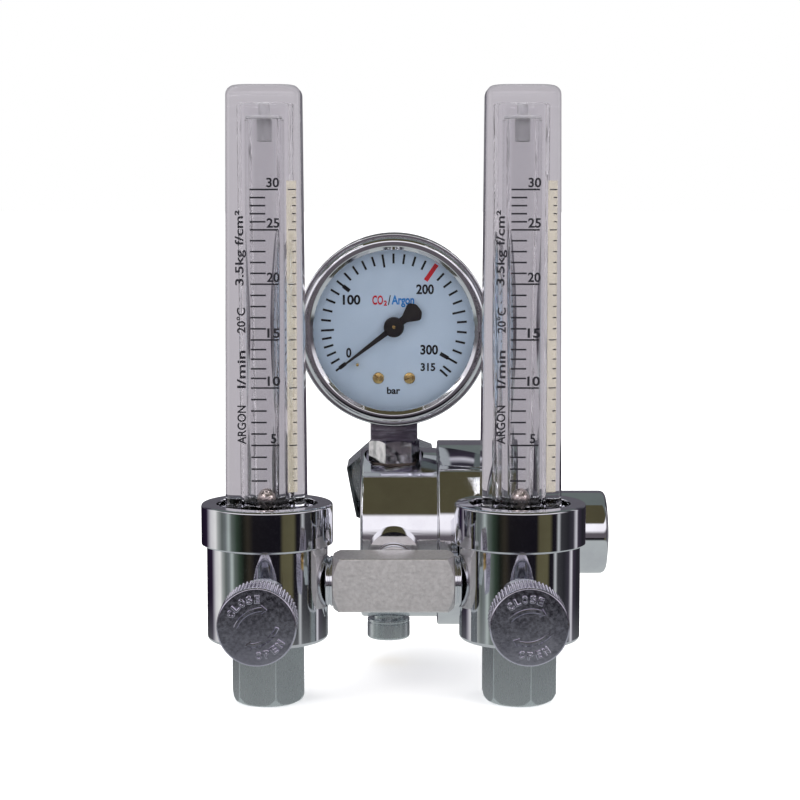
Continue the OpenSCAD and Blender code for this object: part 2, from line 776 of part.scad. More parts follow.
module bourdon_tube() color("goldenrod") {
    // Flattened tube bent round the movement, with its tip link
    translate([0, tube_bend_y, gauge_rise]) rotate([-90, 0, 0]) rotate([0, 0, -tube_start])
        mirror([0, 1, 0]) rotate_extrude(angle = tube_sweep, $fn = 96)
            translate([tube_bend_r - tube_bend_t / 2, 0]) square([tube_bend_t, tube_bend_w]);
}

module movement_plates() color("goldenrod") {
    low = hub_z - pivot_drop - 3;
    high = hub_z + 5;
    half = dial_screw_x + 2;
    tongue = 4;
    back_y = front_plate_y + movement_t + plate_gap_y;
    difference() {
        union() {
            for (y = [front_plate_y, back_y]) {
                translate([-half, y, low]) cube([2 * half, movement_t, high - low]);
                translate([-column_w / 2 + 1, y, low - tongue])
                    cube([column_w - 2, movement_t, tongue + 1]);
            }
            for (side = [-1, 1]) translate([side * (half - 1.5), 0, hub_z + 3.4])
                rod_y(front_plate_y + 0.1, back_y + 0.1, 1);
        }
        for (z = [hub_z, hub_z - pivot_drop]) translate([0, 0, z])
            rod_y(front_plate_y - cut, back_y + 2, arbor_r + run);
        for (side = [-1, 1]) translate([side * dial_screw_x, 0, dial_screw_z])
            rod_y(front_plate_y - cut, front_plate_y + 1.5, 1);
    }
}

// One tooth standing on a circle of the given radius, pointing along +X
module tooth(r, height) translate([r, 0]) polygon([[-0.2, -tooth_width * 0.7],
    [height, -tooth_width * 0.3], [height, tooth_width * 0.3], [-0.2, tooth_width * 0.7]]);

module sector_gear() color("goldenrod") {
    pitch_angle = 360 / sector_full_teeth;
    first = -ceil(pointer_sweep / sector_full_teeth * pinion_teeth / pitch_angle) - 1;
    last = 2;
    low = 90 + (first - 0.8) * pitch_angle;
    high = 90 + (last + 0.8) * pitch_angle;
    root_r = sector_pitch_r - tooth_ded;
    translate([0, sector_y, hub_z - pivot_drop]) rotate([90, 0, 0]) translate([0, 0, -sector_t])
        difference() {
            linear_extrude(sector_t) {
                intersection() {
                    circle(r = root_r, $fn = 128);
                    polygon([[0, 0], [30 * cos(low), 30 * sin(low)], [30 * cos(high), 30 * sin(high)]]);
                }
                circle(r = 2.4);
                rotate(150) translate([0, -1.1]) square([tail_l, 2.2]);
                for (i = [first:last]) rotate(90 + i * pitch_angle)
                    tooth(root_r, tooth_add + tooth_ded);
            }
            // Window that lightens the sector
            translate([0, 0, -cut]) linear_extrude(sector_t + 1) intersection() {
                difference() {
                    circle(r = root_r - 2.4);
                    circle(r = 5);
                }
                polygon([[0.8, 1.5], [30 * cos(low + 8), 30 * sin(low + 8)],
                    [30 * cos(high - 8), 30 * sin(high - 8)]]);
            }
        }
    translate([0, 0, hub_z - pivot_drop])
        rod_y(front_plate_y + 0.1, front_plate_y + movement_t + plate_gap_y + movement_t, arbor_r);
}

module pointer_arbor() color("goldenrod") {
    root_r = pinion_pitch_r - tooth_ded;
    translate([0, 0, hub_z]) {
        rod_y(pointer_y + pointer_t + 0.02, front_plate_y + 2 * movement_t + plate_gap_y, arbor_r);
        rod_y(pointer_y + pointer_t + 0.02, front_plate_y - 0.3, arbor_boss_r);
        translate([0, sector_y + sector_t + 0.3, 0]) rotate([90, 0, 0]) linear_extrude(sector_t + 0.6) {
            circle(r = root_r);
            for (i = [0:pinion_teeth - 1]) rotate(-90 + (i + 0.5) * 360 / pinion_teeth)
                tooth(root_r, tooth_add + tooth_ded);
        }
    }
}

module gauge_pointer() color("black") {
    translate([0, pointer_y, hub_z]) rotate([0, -zero_angle, 0]) rotate([90, 0, 0])
        translate([0, 0, -pointer_t]) linear_extrude(pointer_t) {
            polygon([[2, -0.8], [pointer_l, -0.15], [pointer_l, 0.15], [2, 0.8]]);
            polygon([[-2, -0.8], [-2, 0.8], [-9, 2.2], [-10, 0], [-9, -2.2]]);
            circle(r = 3);
        }
    translate([0, 0, hub_z]) rod_y(pointer_y - 0.8, pointer_y + pointer_t, 3.4);
}

module manifold_block() color("gainsboro") {
    end = meter_pitch / 2 - side_flat - bar_gap;
    half = bar_w / 2;
    translate([0, meter_y, bar_z]) difference() {
        intersection() {
            translate([-end, -half, -half]) cube([2 * end, bar_w, bar_w]);
            turned_x([[0, -end], [collar_r + 0.6, -end], [half * sqrt(2) + cut, 2.2 - end],
                [half * sqrt(2) + cut, end - 2.2], [collar_r + 0.6, end], [0, end]]);
        }
        rod_x(-end, end, bar_bore_r);
        for (side = [-1, 1]) rotate([0, 0, side < 0 ? 0 : 180])
            rod_x(-end - cut, -end + nipple_grip + 0.4, nipple_r + fit);
        translate([0, 0, connector_z - bar_z]) rod_y(half - 7.5, half + cut, connector_r + fit);
    }
}

module outlet_connector() color("silver") {
    translate([0, 0, connector_z]) difference() {
        union() {
            rod_y(bar_back_y - 7, boss_front_y + 8, connector_r);
            rod_y(bar_back_y + 0.05, boss_front_y - 0.85, connector_collar_r);
        }
        rod_y(bar_back_y - 8, boss_front_y + 9, 2.2);
    }
}

module side_nipples() color("silver") {
    end = meter_pitch / 2 - side_flat - bar_gap;
    for (side = [-1, 1]) translate([0, meter_y, bar_z]) rotate([0, 0, side < 0 ? 180 : 0])
        difference() {
            union() {
                rod_x(end - nipple_grip, end + bar_gap + nipple_grip, nipple_r);
                rod_x(end + 0.03, end + bar_gap - 0.03, collar_r);
            }
            rod_x(end - nipple_grip - 1, end + bar_gap + nipple_grip + 1, 1.8);
        }
}

module seal_rings() color("saddlebrown") {
    // Flat washer under the gauge adapter
    translate([0, stem_y, 0]) difference() {
        rod_z(spot_z + 0.01, adapter_z - 0.01, adapter_af / 2);
        rod_z(spot_z - 1, adapter_z + 1, adapter_thread_r + fit);
    }
    // Flat washer behind the outlet connector's collar
    translate([0, 0, connector_z]) difference() {
        rod_y(boss_front_y - 0.83, boss_front_y - 0.02, connector_collar_r);
        rod_y(boss_front_y - 2, boss_front_y + 2, connector_r + fit);
    }
}

module meter_body(side) color("silver") at_meter(side) {
    edge = 1.2;
    difference() {
        turned_z([[0, cup_low], [cup_r - edge, cup_low], [cup_r, cup_low + edge],
            [cup_r, -ring_h - 0.1], [spigot_r, -ring_h - 0.1], [spigot_r, cup_top], [0, cup_top]]);
        rod_z(-chamber_floor, cup_top + cut, chamber_r);
        rod_z(-tube_foot - 0.1, 0, tube_r + 0.1);
        // Groove for the tube's ring
        rod_z(-chamber_floor - 2.4, -chamber_floor - 0.4, tube_r + 1.7);
        // Groove for the cover's ring
        difference() {
            rod_z(cup_top - 1.3, cup_top + cut, cover_seal_r + 1.2);
            rod_z(cup_top - 2, cup_top + 1, cover_seal_r - 1.2);
        }
        // Feed from the cross bar to the tube's foot
        translate([0, 0, -bar_depth]) rod_x(side > 0 ? -cup_r : 0, side > 0 ? 0 : cup_r, feed_r);
        rod_z(-bar_depth, -tube_foot, feed_r);
        // Side port with its flat
        translate([0, 0, -bar_depth]) mirror([side > 0 ? 0 : 1, 0, 0]) {
            rod_x(-side_flat - 0.1, -side_flat + nipple_grip + 0.3, nipple_r + fit);
            rod_x(-side_flat - 5, -side_flat, collar_r + 0.4);
        }
        // Drain from the gas space to the needle valve
        translate([0, drain_y, 0]) rod_z(-valve_depth, -chamber_floor + cut, drain_r);
        translate([0, 0, -valve_depth]) {
            rod_y(valve_seat_y - 1, 0, seat_r);
            rod_y(valve_room_y - cut, valve_seat_y, valve_room_r);
            rod_y(-cup_r - 1, valve_room_y, gland_thread_r + fit);
            rod_y(-cup_r - 3, -cup_r + 0.9, gland_af / 2 + 1.6);
        }
        // Outlet passage
        rod_z(cup_low - cut, cup_low + outlet_grip + 0.5, outlet_thread_r + fit);
        rod_z(cup_low, -valve_depth, seat_r);
    }
}

module clamp_ring(side) color("silver") at_meter(side) {
    edge = 1;
    difference() {
        turned_z([[0, -ring_h], [ring_r - 0.5, -ring_h], [ring_r, -ring_h + 0.5], [ring_r, -edge],
            [ring_r - edge * 0.3, -edge * 0.3], [ring_r - edge, 0], [0, 0]]);
        rod_z(-ring_h - cut, -ring_lip, spigot_r + 0.2);
        rod_z(-ring_lip - cut, cut, ring_hole_r);
    }
}

// A square of the given width with round corners
module round_square(w, r) offset(r = r, $fn = 32) square(w - 2 * r, center = true);

module cover(side) color("azure", 0.3) at_meter(side) {
    round_top = 3;
    low = -ring_lip - 0.4;
    difference() {
        union() {
            hull() {
                translate([0, 0, low]) linear_extrude(0.1) round_square(cover_base, cover_corner);
                for (a = [0:30:90]) translate([0, 0, cover_h - round_top + round_top * sin(a) - 0.1])
                    linear_extrude(0.1)
                        round_square(cover_top - 2 * round_top * (1 - cos(a)), cover_corner);
            }
            rod_z(-ring_lip - flange_t, -ring_lip - 0.05, flange_r);
        }
        rod_z(-ring_lip - flange_t - cut, cover_h - cover_roof, cover_bore_r);
    }
}

module metering_tube(side) color("azure", 0.3) at_meter(side) difference() {
    rod_z(-tube_foot, tube_h, tube_r);
    rod_z(-tube_foot - cut, 0, throat_r);
    turned_z([[0, -throat_depth], [tube_bore_low, -throat_depth], [tube_bore_high, tube_h + cut],
        [0, tube_h + cut]]);
}

module float_stop(side) color("white") at_meter(side) difference() {
    union() {
        rod_z(tube_h - stop_drop, tube_h + 0.5, stop_r);
        rod_z(tube_h + 0.03, tube_h + stop_flange_t, tube_r - 0.4);
        rod_z(tube_h + 0.5, cover_h - cover_roof - 0.05, 2);
    }
    for (i = [0:5]) rotate(60 * i) translate([(stop_r + tube_bore_high) / 2 + 0.15, 0, 0])
        rod_z(tube_h - 1, tube_h + 2, 0.7);
}

module float_ball(side) color("dimgray") at_meter(side) translate([0, 0, ball_rest]) sphere(r = ball_r);

module outlet_hex(side) color("lightsteelblue") at_meter(side) {
    low = cup_low - outlet_h;
    corner_r = outlet_af / sqrt(3);
    difference() {
        union() {
            intersection() {
                rotate([0, 0, -15]) hex_z(low, cup_low - 0.05, outlet_af);
                turned_z([[0, low], [corner_r - 2.4, low], [corner_r - 1.1, low + 0.9],
                    [corner_r + cut, low + 3.2], [corner_r + cut, cup_low - 0.9],
                    [corner_r - 1.2, cup_low - 0.05], [0, cup_low - 0.05]]);
            }
            rod_z(cup_low - 0.1, cup_low + outlet_grip, outlet_thread_r);
        }
        rod_z(low - cut, low + outlet_depth, outlet_bore_r);
        rod_z(low, cup_low + outlet_grip + cut, outlet_way_r);
    }
}

module gland(side) color("goldenrod") at_meter(side) translate([0, 0, -valve_depth]) difference() {
    union() {
        rod_y(gland_face_y, valve_room_y - 0.05, gland_thread_r);
        rotate([-90, 0, 0]) hex_z(gland_face_y - gland_hex_l, gland_face_y + 1.2, gland_af);
        turned_y([[0, gland_end_y], [4.6, gland_end_y], [5.2, gland_end_y + 0.6],
            [5.2, gland_face_y - gland_hex_l + cut], [0, gland_face_y - gland_hex_l + cut]]);
    }
    rod_y(gland_bore_y, valve_room_y + cut, spindle_thread_r + run);
    rod_y(gland_end_y - cut, valve_room_y, stem_r + run);
    // Groove for the spindle's ring
    rod_y(gland_groove_y, gland_groove_y + gland_groove_l, stem_r + 1.4);
}

module needle(side) color("goldenrod") at_meter(side) translate([0, 0, -valve_depth]) {
    taper = 0.36;
    edge_r = seat_r - 0.03;
    shank_y = valve_room_y - 1.2;
    thread_y = gland_bore_y + needle_lift + 0.4;
    turned_y([[0, shank_y], [stem_r, shank_y], [stem_r, shank_y + 1.5],
        [edge_r + 2 * taper, valve_seat_y - 2],
        [edge_r - taper * (needle_tip_y - valve_seat_y), needle_tip_y], [0, needle_tip_y]]);
    rod_y(thread_y, shank_y + 0.1, spindle_thread_r);
    rod_y(stem_end_y, thread_y + 0.1, stem_r);
}

module knob(side) color("dimgray") at_meter(side) translate([0, 0, -valve_depth]) difference() {
    back = -knob_reach;
    front = -(knob_reach + knob_l);
    turned_y([[0, front], [knob_r - 1, front], [knob_r - 0.3, front + 0.3], [knob_r, front + 1],
        [knob_r, back - 0.8], [knob_r - 0.8, back], [0, back]]);
    rod_y(stem_end_y - 0.1, back + cut, stem_r + run);
}

module meter_seals() color("black") for (side = [-1, 1]) at_meter(side) {
    wire = 0.75;
    translate([0, 0, -chamber_floor - 1.4]) o_ring(tube_r + 0.03 + wire, wire);
    translate([0, 0, cup_top - 0.68]) o_ring(cover_seal_r, 0.6);
    translate([0, gland_groove_y + gland_groove_l / 2, -valve_depth]) rotate([90, 0, 0])
        o_ring(stem_r + run + 0.6, 0.6);
}

regulator_body();
bonnet();
adjuster_cap();
adjusting_screw();
adjuster_lock_nut();
spring_button();
main_spring();
diaphragm();
diaphragm_plate();
valve_nozzle();
valve_poppet();
poppet_spring();
valve_plug();
inlet_nut();
inlet_nipple();
inlet_filter();
inlet_washer();
relief_body();
relief_disc();
relief_spring();
relief_screw();
gauge_adapter();
gauge_socket();
gauge_case();
gauge_bezel();
gauge_window();
window_gasket();
gauge_dial();
dial_screws();
bourdon_tube();
movement_plates();
sector_gear();
pointer_arbor();
gauge_pointer();
manifold_block();
outlet_connector();
side_nipples();
seal_rings();
meter_seals();
meter_body(-1);  // left_meter_body
meter_body(1);  // right_meter_body
clamp_ring(-1);  // left_clamp_ring
clamp_ring(1);  // right_clamp_ring
cover(-1);  // left_cover
cover(1);  // right_cover
metering_tube(-1);  // left_metering_tube
metering_tube(1);  // right_metering_tube
float_stop(-1);  // left_float_stop
float_stop(1);  // right_float_stop
float_ball(-1);  // left_float_ball
float_ball(1);  // right_float_ball
outlet_hex(-1);  // left_outlet_hex
outlet_hex(1);  // right_outlet_hex
gland(-1);  // left_gland
gland(1);  // right_gland
needle(-1);  // left_needle
needle(1);  // right_needle
knob(-1);  // left_knob
knob(1);  // right_knob
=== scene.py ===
"""Looks of a twin-flowmeter gas regulator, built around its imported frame.

Shapes are made in millimetres in the frame's own axes and turned into metres when they are fitted.
"""

import json
import logging
import math
from dataclasses import dataclass, field
from enum import Enum
from typing import Callable, Optional, Sequence, Union

import bmesh
import bpy
from mathutils import Matrix, Vector

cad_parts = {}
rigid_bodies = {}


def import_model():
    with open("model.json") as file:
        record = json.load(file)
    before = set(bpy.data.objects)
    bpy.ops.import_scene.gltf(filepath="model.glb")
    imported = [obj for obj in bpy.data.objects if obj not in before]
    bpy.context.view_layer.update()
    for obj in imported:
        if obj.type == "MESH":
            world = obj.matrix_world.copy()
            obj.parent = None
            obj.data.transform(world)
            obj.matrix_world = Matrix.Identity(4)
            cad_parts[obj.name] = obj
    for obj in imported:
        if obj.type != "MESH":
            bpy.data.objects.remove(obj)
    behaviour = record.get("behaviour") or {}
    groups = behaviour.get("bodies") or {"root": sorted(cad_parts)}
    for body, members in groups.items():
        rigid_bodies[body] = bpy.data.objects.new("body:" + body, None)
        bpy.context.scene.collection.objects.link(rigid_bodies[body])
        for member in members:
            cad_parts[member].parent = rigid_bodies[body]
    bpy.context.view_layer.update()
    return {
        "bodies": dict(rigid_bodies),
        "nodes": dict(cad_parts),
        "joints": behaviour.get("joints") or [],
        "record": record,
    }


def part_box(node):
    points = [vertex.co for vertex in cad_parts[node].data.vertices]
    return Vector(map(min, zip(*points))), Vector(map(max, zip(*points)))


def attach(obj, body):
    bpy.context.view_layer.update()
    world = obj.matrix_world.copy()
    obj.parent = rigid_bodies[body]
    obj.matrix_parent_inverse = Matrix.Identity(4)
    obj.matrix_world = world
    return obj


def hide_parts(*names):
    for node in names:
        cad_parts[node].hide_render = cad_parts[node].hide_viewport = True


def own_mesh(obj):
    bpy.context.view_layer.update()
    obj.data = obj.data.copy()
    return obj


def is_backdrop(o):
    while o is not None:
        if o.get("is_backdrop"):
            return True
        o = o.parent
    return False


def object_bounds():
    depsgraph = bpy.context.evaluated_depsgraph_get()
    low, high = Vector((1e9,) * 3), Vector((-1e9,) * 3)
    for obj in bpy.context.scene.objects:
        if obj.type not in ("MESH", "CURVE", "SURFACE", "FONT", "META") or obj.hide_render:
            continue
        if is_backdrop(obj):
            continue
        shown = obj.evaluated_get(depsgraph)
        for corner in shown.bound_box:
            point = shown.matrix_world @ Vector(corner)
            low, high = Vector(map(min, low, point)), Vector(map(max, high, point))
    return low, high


log = logging.getLogger("gas_regulator")

MM = 0.001
SMOOTH_ANGLE = math.radians(32)
ROUND_STEPS = 5
SEGMENTS = 128
FINE_SEGMENTS = 192
TINY = 1e-6
CAPITAL_SHARE = 0.729

Colour = tuple[float, float, float]
Radius = Union[float, Callable[[float], float]]
Row = tuple[Radius, float]
Outline = Sequence[tuple[float, ...]]


class Axis(Enum):
    """The direction that a turned or extruded shape stands along."""

    X = "x"
    Y = "y"
    Z = "z"

    def place(self, across: float, up: float, along: float) -> Vector:
        """Puts a point of the shape's own plane into the frame.

        Args:
            across: First coordinate in the plane square to the axis.
            up: Second coordinate in that plane.
            along: Position along the axis.

        Returns:
            The point in the frame's axes.
        """
        if self is Axis.X:
            return Vector((along, across, up))
        if self is Axis.Y:
            return Vector((up, along, across))
        return Vector((across, up, along))


class Side(Enum):
    """The two flowmeters, named as they stand from the front."""

    LEFT = "left"
    RIGHT = "right"

    @property
    def sign(self) -> int:
        """-1 on the left and 1 on the right."""
        return -1 if self is Side.LEFT else 1


class Slot(Enum):
    """The record's material slots."""

    CHROME = "chrome"
    SATIN_PLATE = "satin_plate"
    HEX_PLATE = "hex_plate"
    KNOB = "knob"
    BRASS = "brass"
    STEEL = "steel"
    SPRING_STEEL = "spring_steel"
    RUBBER = "rubber"
    FIBRE = "fibre"
    SOFT_SEAL = "soft_seal"
    CLEAR_COVER = "clear_cover"
    CLEAR_TUBE = "clear_tube"
    GAUGE_GLASS = "gauge_glass"
    DIAL = "dial"
    POINTER = "pointer"
    BALL = "ball"


# ---------------------------------------------------------------- finishes


class Shader:
    """A material under construction, with short ways to add nodes."""

    def __init__(self, name: str) -> None:
        """Starts an empty material with one Principled shader."""
        self.material = bpy.data.materials.new(name)
        self.material.use_nodes = True
        self.nodes = self.material.node_tree.nodes
        self.links = self.material.node_tree.links
        self.surface = next(n for n in self.nodes if n.type == "BSDF_PRINCIPLED")
        self.place = self.add("ShaderNodeTexCoord").outputs["Object"]

    def add(self, kind: str, **settings: object) -> bpy.types.Node:
        """Adds a node.

        Args:
            kind: The node's type.
            **settings: Attributes to set on it.

        Returns:
            The new node.
        """
        node = self.nodes.new(kind)
        for key, value in settings.items():
            setattr(node, key, value)
        return node

    def set(self, **values: object) -> None:
        """Sets the shader's own sockets, named with underscores for spaces."""
        for key, value in values.items():
            self.surface.inputs[key.replace("_", " ")].default_value = value

    def noise(self, scale: float, detail: float = 3.0,
              stretch: Sequence[float] = (1.0, 1.0, 1.0)) -> bpy.types.NodeSocket:
        """A noise pattern fixed to the piece.

        Args:
            scale: Repeats per metre.
            detail: Octaves of the noise.
            stretch: Factor on the scale along X, Y and Z.

        Returns:
            The noise's value, round about 0.5.
        """
        mapping = self.add("ShaderNodeMapping")
        mapping.inputs["Scale"].default_value = stretch
        self.links.new(self.place, mapping.inputs["Vector"])
        noise = self.add("ShaderNodeTexNoise")
        noise.inputs["Scale"].default_value = scale
        noise.inputs["Detail"].default_value = detail
        self.links.new(mapping.outputs["Vector"], noise.inputs["Vector"])
        return noise.outputs["Fac"]

    def spread(self, value: bpy.types.NodeSocket, low: float, high: float,
               start: float = 0.35, end: float = 0.65) -> bpy.types.NodeSocket:
        """Stretches a value between two limits.

        Args:
            value: The value to stretch.
            low: Result at and below start.
            high: Result at and above end.
            start: Value that gives low.
            end: Value that gives high.

        Returns:
            The stretched value.
        """
        node = self.add("ShaderNodeMapRange")
        for name, number in (("From Min", start), ("From Max", end), ("To Min", low), ("To Max", high)):
            node.inputs[name].default_value = number
        self.links.new(value, node.inputs["Value"])
        return node.outputs["Result"]

    def blend(self, value: bpy.types.NodeSocket, first: Colour, second: Colour) -> bpy.types.NodeSocket:
        """A colour between two.

        Args:
            value: 0 for the first colour and 1 for the second.
            first: The first colour.
            second: The second colour.

        Returns:
            The mixed colour.
        """
        node = self.add("ShaderNodeMix", data_type="RGBA")
        sockets = [s for s in node.inputs if s.type == "RGBA"]
        for socket, colour in zip(sockets, (first, second)):
            socket.default_value = (*colour, 1.0)
        self.links.new(value, node.inputs[0])
        return next(s for s in node.outputs if s.type == "RGBA")

    def feed(self, socket: str, value: bpy.types.NodeSocket) -> None:
        """Links a value to one of the shader's sockets."""
        self.links.new(value, self.surface.inputs[socket])

    def bumps(self, *layers: tuple[bpy.types.NodeSocket, float]) -> None:
        """Gives the surface small relief.

        Args:
            *layers: Each layer's height pattern and its depth in metres.
        """
        normal = None
        for height, depth in layers:
            bump = self.add("ShaderNodeBump")
            bump.inputs["Strength"].default_value = 1.0
            bump.inputs["Distance"].default_value = depth
            self.links.new(height, bump.inputs["Height"])
            if normal is not None:
                self.links.new(normal, bump.inputs["Normal"])
            normal = bump.outputs["Normal"]
        self.feed("Normal", normal)


class Finish:
    """A surface finish that is made into one material the first time it is used."""

    made: dict[str, bpy.types.Material] = {}
    name: str

    def build(self, shader: Shader) -> None:
        """Fills in the material's nodes."""
        raise NotImplementedError

    def material(self) -> bpy.types.Material:
        """The finish's material, made once."""
        if self.name not in Finish.made:
            shader = Shader(self.name)
            self.build(shader)
            Finish.made[self.name] = shader.material
        return Finish.made[self.name]


@dataclass(frozen=True)
class Metal(Finish):
    """Bare or plated metal."""

    name: str
    light: Colour
    dark: Colour
    rough_low: float
    rough_high: float
    grain_scale: float = 900.0
    grain_depth: float = 0.000002
    wave_scale: float = 60.0
    wave_depth: float = 0.00001
    stretch: tuple[float, float, float] = (1.0, 1.0, 1.0)
    patch_scale: float = 140.0

    def build(self, shader: Shader) -> None:
        """Fills in patchy colour, patchy gloss, grain and slow waviness."""
        shader.set(Metallic=1.0)
        patch = shader.noise(self.patch_scale, 4.0)
        grain = shader.noise(self.grain_scale, 4.0, self.stretch)
        wave = shader.noise(self.wave_scale, 1.0)
        shader.feed("Base Color", shader.blend(shader.spread(patch, 0.0, 1.0), self.light, self.dark))
        shader.feed("Roughness", shader.spread(grain, self.rough_low, self.rough_high))
        shader.bumps((wave, self.wave_depth), (grain, self.grain_depth))


@dataclass(frozen=True)
class Clear(Finish):
    """Clear plastic or glass with slight moulding marks and fine scratches."""

    name: str
    tint: Colour
    index: float
    haze: float
    wave_scale: float
    wave_depth: float
    polish: float = 1.0

    def build(self, shader: Shader) -> None:
        """Fills in refraction, a polished skin, haze in patches and a rippled surface."""
        shader.set(Base_Color=(*self.tint, 1.0), Transmission_Weight=1.0, IOR=self.index,
                   Coat_Weight=self.polish, Coat_IOR=1.5, Coat_Roughness=0.02)
        scuff = shader.noise(420.0, 5.0, (3.0, 3.0, 0.4))
        ripple = shader.noise(self.wave_scale, 2.0, (1.0, 1.0, 0.25))
        shader.feed("Roughness", shader.spread(scuff, 0.0, self.haze, 0.5, 0.75))
        shader.bumps((ripple, self.wave_depth))


@dataclass(frozen=True)
class Coating(Finish):
    """Paint, ink, enamel, rubber, fibre or plastic that doesn't let light through."""

    name: str
    light: Colour
    dark: Colour
    rough_low: float
    rough_high: float
    grain_scale: float = 800.0
    grain_depth: float = 0.000004
    gloss: float = 0.5
    cover: float = 1.0

    def build(self, shader: Shader) -> None:
        """Fills in mottled colour, uneven gloss and fine grain."""
        shader.set(Specular_IOR_Level=self.gloss, Alpha=self.cover)
        patch = shader.noise(self.grain_scale * 0.2, 3.0)
        grain = shader.noise(self.grain_scale, 3.0)
        shader.feed("Base Color", shader.blend(shader.spread(patch, 0.0, 1.0), self.light, self.dark))
        shader.feed("Roughness", shader.spread(grain, self.rough_low, self.rough_high))
        shader.bumps((grain, self.grain_depth))


CHROME = Metal("chrome_plate", (0.80, 0.81, 0.84), (0.74, 0.74, 0.78), 0.03, 0.07,
               grain_scale=1500.0, grain_depth=0.0000004, wave_scale=45.0, wave_depth=0.000016)
RING_CHROME = Metal("ring_chrome", (0.74, 0.75, 0.79), (0.68, 0.68, 0.72), 0.03, 0.07,
                    grain_scale=1500.0, grain_depth=0.0000003, wave_scale=45.0, wave_depth=0.00001)
SATIN_PLATE = Metal("satin_bar_plate", (0.97, 0.93, 0.92), (0.84, 0.80, 0.79), 0.38, 0.54,
                    grain_scale=1500.0, grain_depth=0.000018, wave_scale=260.0, wave_depth=0.00002,
                    stretch=(0.5, 1.0, 1.0), patch_scale=900.0)
HEX_PLATE = Metal("hexagon_plate", (0.66, 0.70, 0.72), (0.60, 0.64, 0.66), 0.26, 0.30,
                  grain_scale=1600.0, grain_depth=0.0000002, stretch=(1.0, 1.0, 0.2), patch_scale=60.0)
SOCKET_PLATE = Metal("socket_plate", (0.62, 0.58, 0.66), (0.36, 0.33, 0.42), 0.08, 0.24,
                     grain_scale=380.0, grain_depth=0.00006, wave_scale=150.0, wave_depth=0.0002,
                     stretch=(0.4, 0.4, 3.0))
ADAPTER_PLATE = Metal("adapter_plate", (0.82, 0.81, 0.84), (0.56, 0.55, 0.58), 0.08, 0.20,
                      grain_scale=420.0, grain_depth=0.00005, wave_scale=230.0, wave_depth=0.00035)
KNOB_PLATE = Metal("knob_plate", (0.66, 0.64, 0.74), (0.54, 0.52, 0.62), 0.08, 0.16,
                   grain_scale=900.0, grain_depth=0.000004, wave_scale=130.0, wave_depth=0.00002)
BRASS = Metal("turned_brass", (0.84, 0.60, 0.26), (0.70, 0.47, 0.18), 0.16, 0.32,
              grain_scale=1400.0, grain_depth=0.000003, stretch=(0.2, 2.0, 0.2))
SINTERED = Metal("sintered_bronze", (0.52, 0.34, 0.17), (0.30, 0.19, 0.10), 0.40, 0.65,
                 grain_scale=2600.0, grain_depth=0.0001)
STEEL = Metal("dark_steel", (0.40, 0.40, 0.41), (0.28, 0.28, 0.29), 0.22, 0.38)
SPRING_STEEL = Metal("spring_wire", (0.48, 0.49, 0.51), (0.38, 0.38, 0.40), 0.20, 0.32)
BALL_STEEL = Metal("float_steel", (0.60, 0.52, 0.49), (0.50, 0.43, 0.41), 0.24, 0.34,
                   grain_depth=0.0000006)
RUBBER = Coating("black_rubber", (0.018, 0.018, 0.019), (0.030, 0.030, 0.032), 0.50, 0.75)
FIBRE = Coating("dark_fibre", (0.060, 0.042, 0.036), (0.035, 0.026, 0.024), 0.70, 0.90,
                grain_depth=0.00002)
SOFT_WHITE = Coating("grey_seal_plastic", (0.36, 0.35, 0.37), (0.30, 0.29, 0.31), 0.35, 0.50)
COVER_CLEAR = Clear("clear_moulding", (0.965, 0.96, 0.975), 1.15, 0.05, 70.0, 0.00012)
TUBE_CLEAR = Clear("clear_tube", (0.985, 0.985, 0.99), 1.28, 0.02, 90.0, 0.00003, 0.7)
WINDOW_CLEAR = Clear("flat_window", (0.99, 0.995, 0.995), 1.45, 0.0, 20.0, 0.000002, 0.0)
DIAL_ENAMEL = Coating("dial_enamel", (0.52, 0.63, 0.79), (0.49, 0.60, 0.76), 0.45, 0.60,
                      grain_depth=0.000002, gloss=0.3)
POINTER_BLACK = Coating("pointer_black", (0.010, 0.007, 0.008), (0.018, 0.013, 0.013), 0.35, 0.50,
                        gloss=0.25)
INK_BLACK = Coating("ink_black", (0.008, 0.008, 0.012), (0.014, 0.013, 0.018), 0.55, 0.70, gloss=0.2)
INK_RED = Coating("ink_red", (0.62, 0.010, 0.022), (0.54, 0.008, 0.018), 0.50, 0.65, gloss=0.25)
INK_BLUE = Coating("ink_blue", (0.012, 0.200, 0.620), (0.010, 0.170, 0.540), 0.50, 0.65, gloss=0.25)
STRIP_CREAM = Coating("scale_strip", (0.47, 0.42, 0.32), (0.40, 0.36, 0.28), 0.45, 0.60, cover=0.40)
FLOOR_PALE = Coating("pale_floor", (0.93, 0.93, 0.93), (0.91, 0.91, 0.91), 0.60, 0.70,
                     grain_scale=60.0, grain_depth=0.0, gloss=0.0)


# ---------------------------------------------------------------- shapes


def mesh_of(bm: bmesh.types.BMesh, outward: bool = True) -> bpy.types.Mesh:
    """Ends a bmesh.

    Args:
        bm: The shape.
        outward: Whether its normals are to be worked out again.

    Returns:
        The shape as a mesh.
    """
    if outward:
        bmesh.ops.recalc_face_normals(bm, faces=bm.faces)
    mesh = bpy.data.meshes.new("shape")
    bm.to_mesh(mesh)
    bm.free()
    return mesh


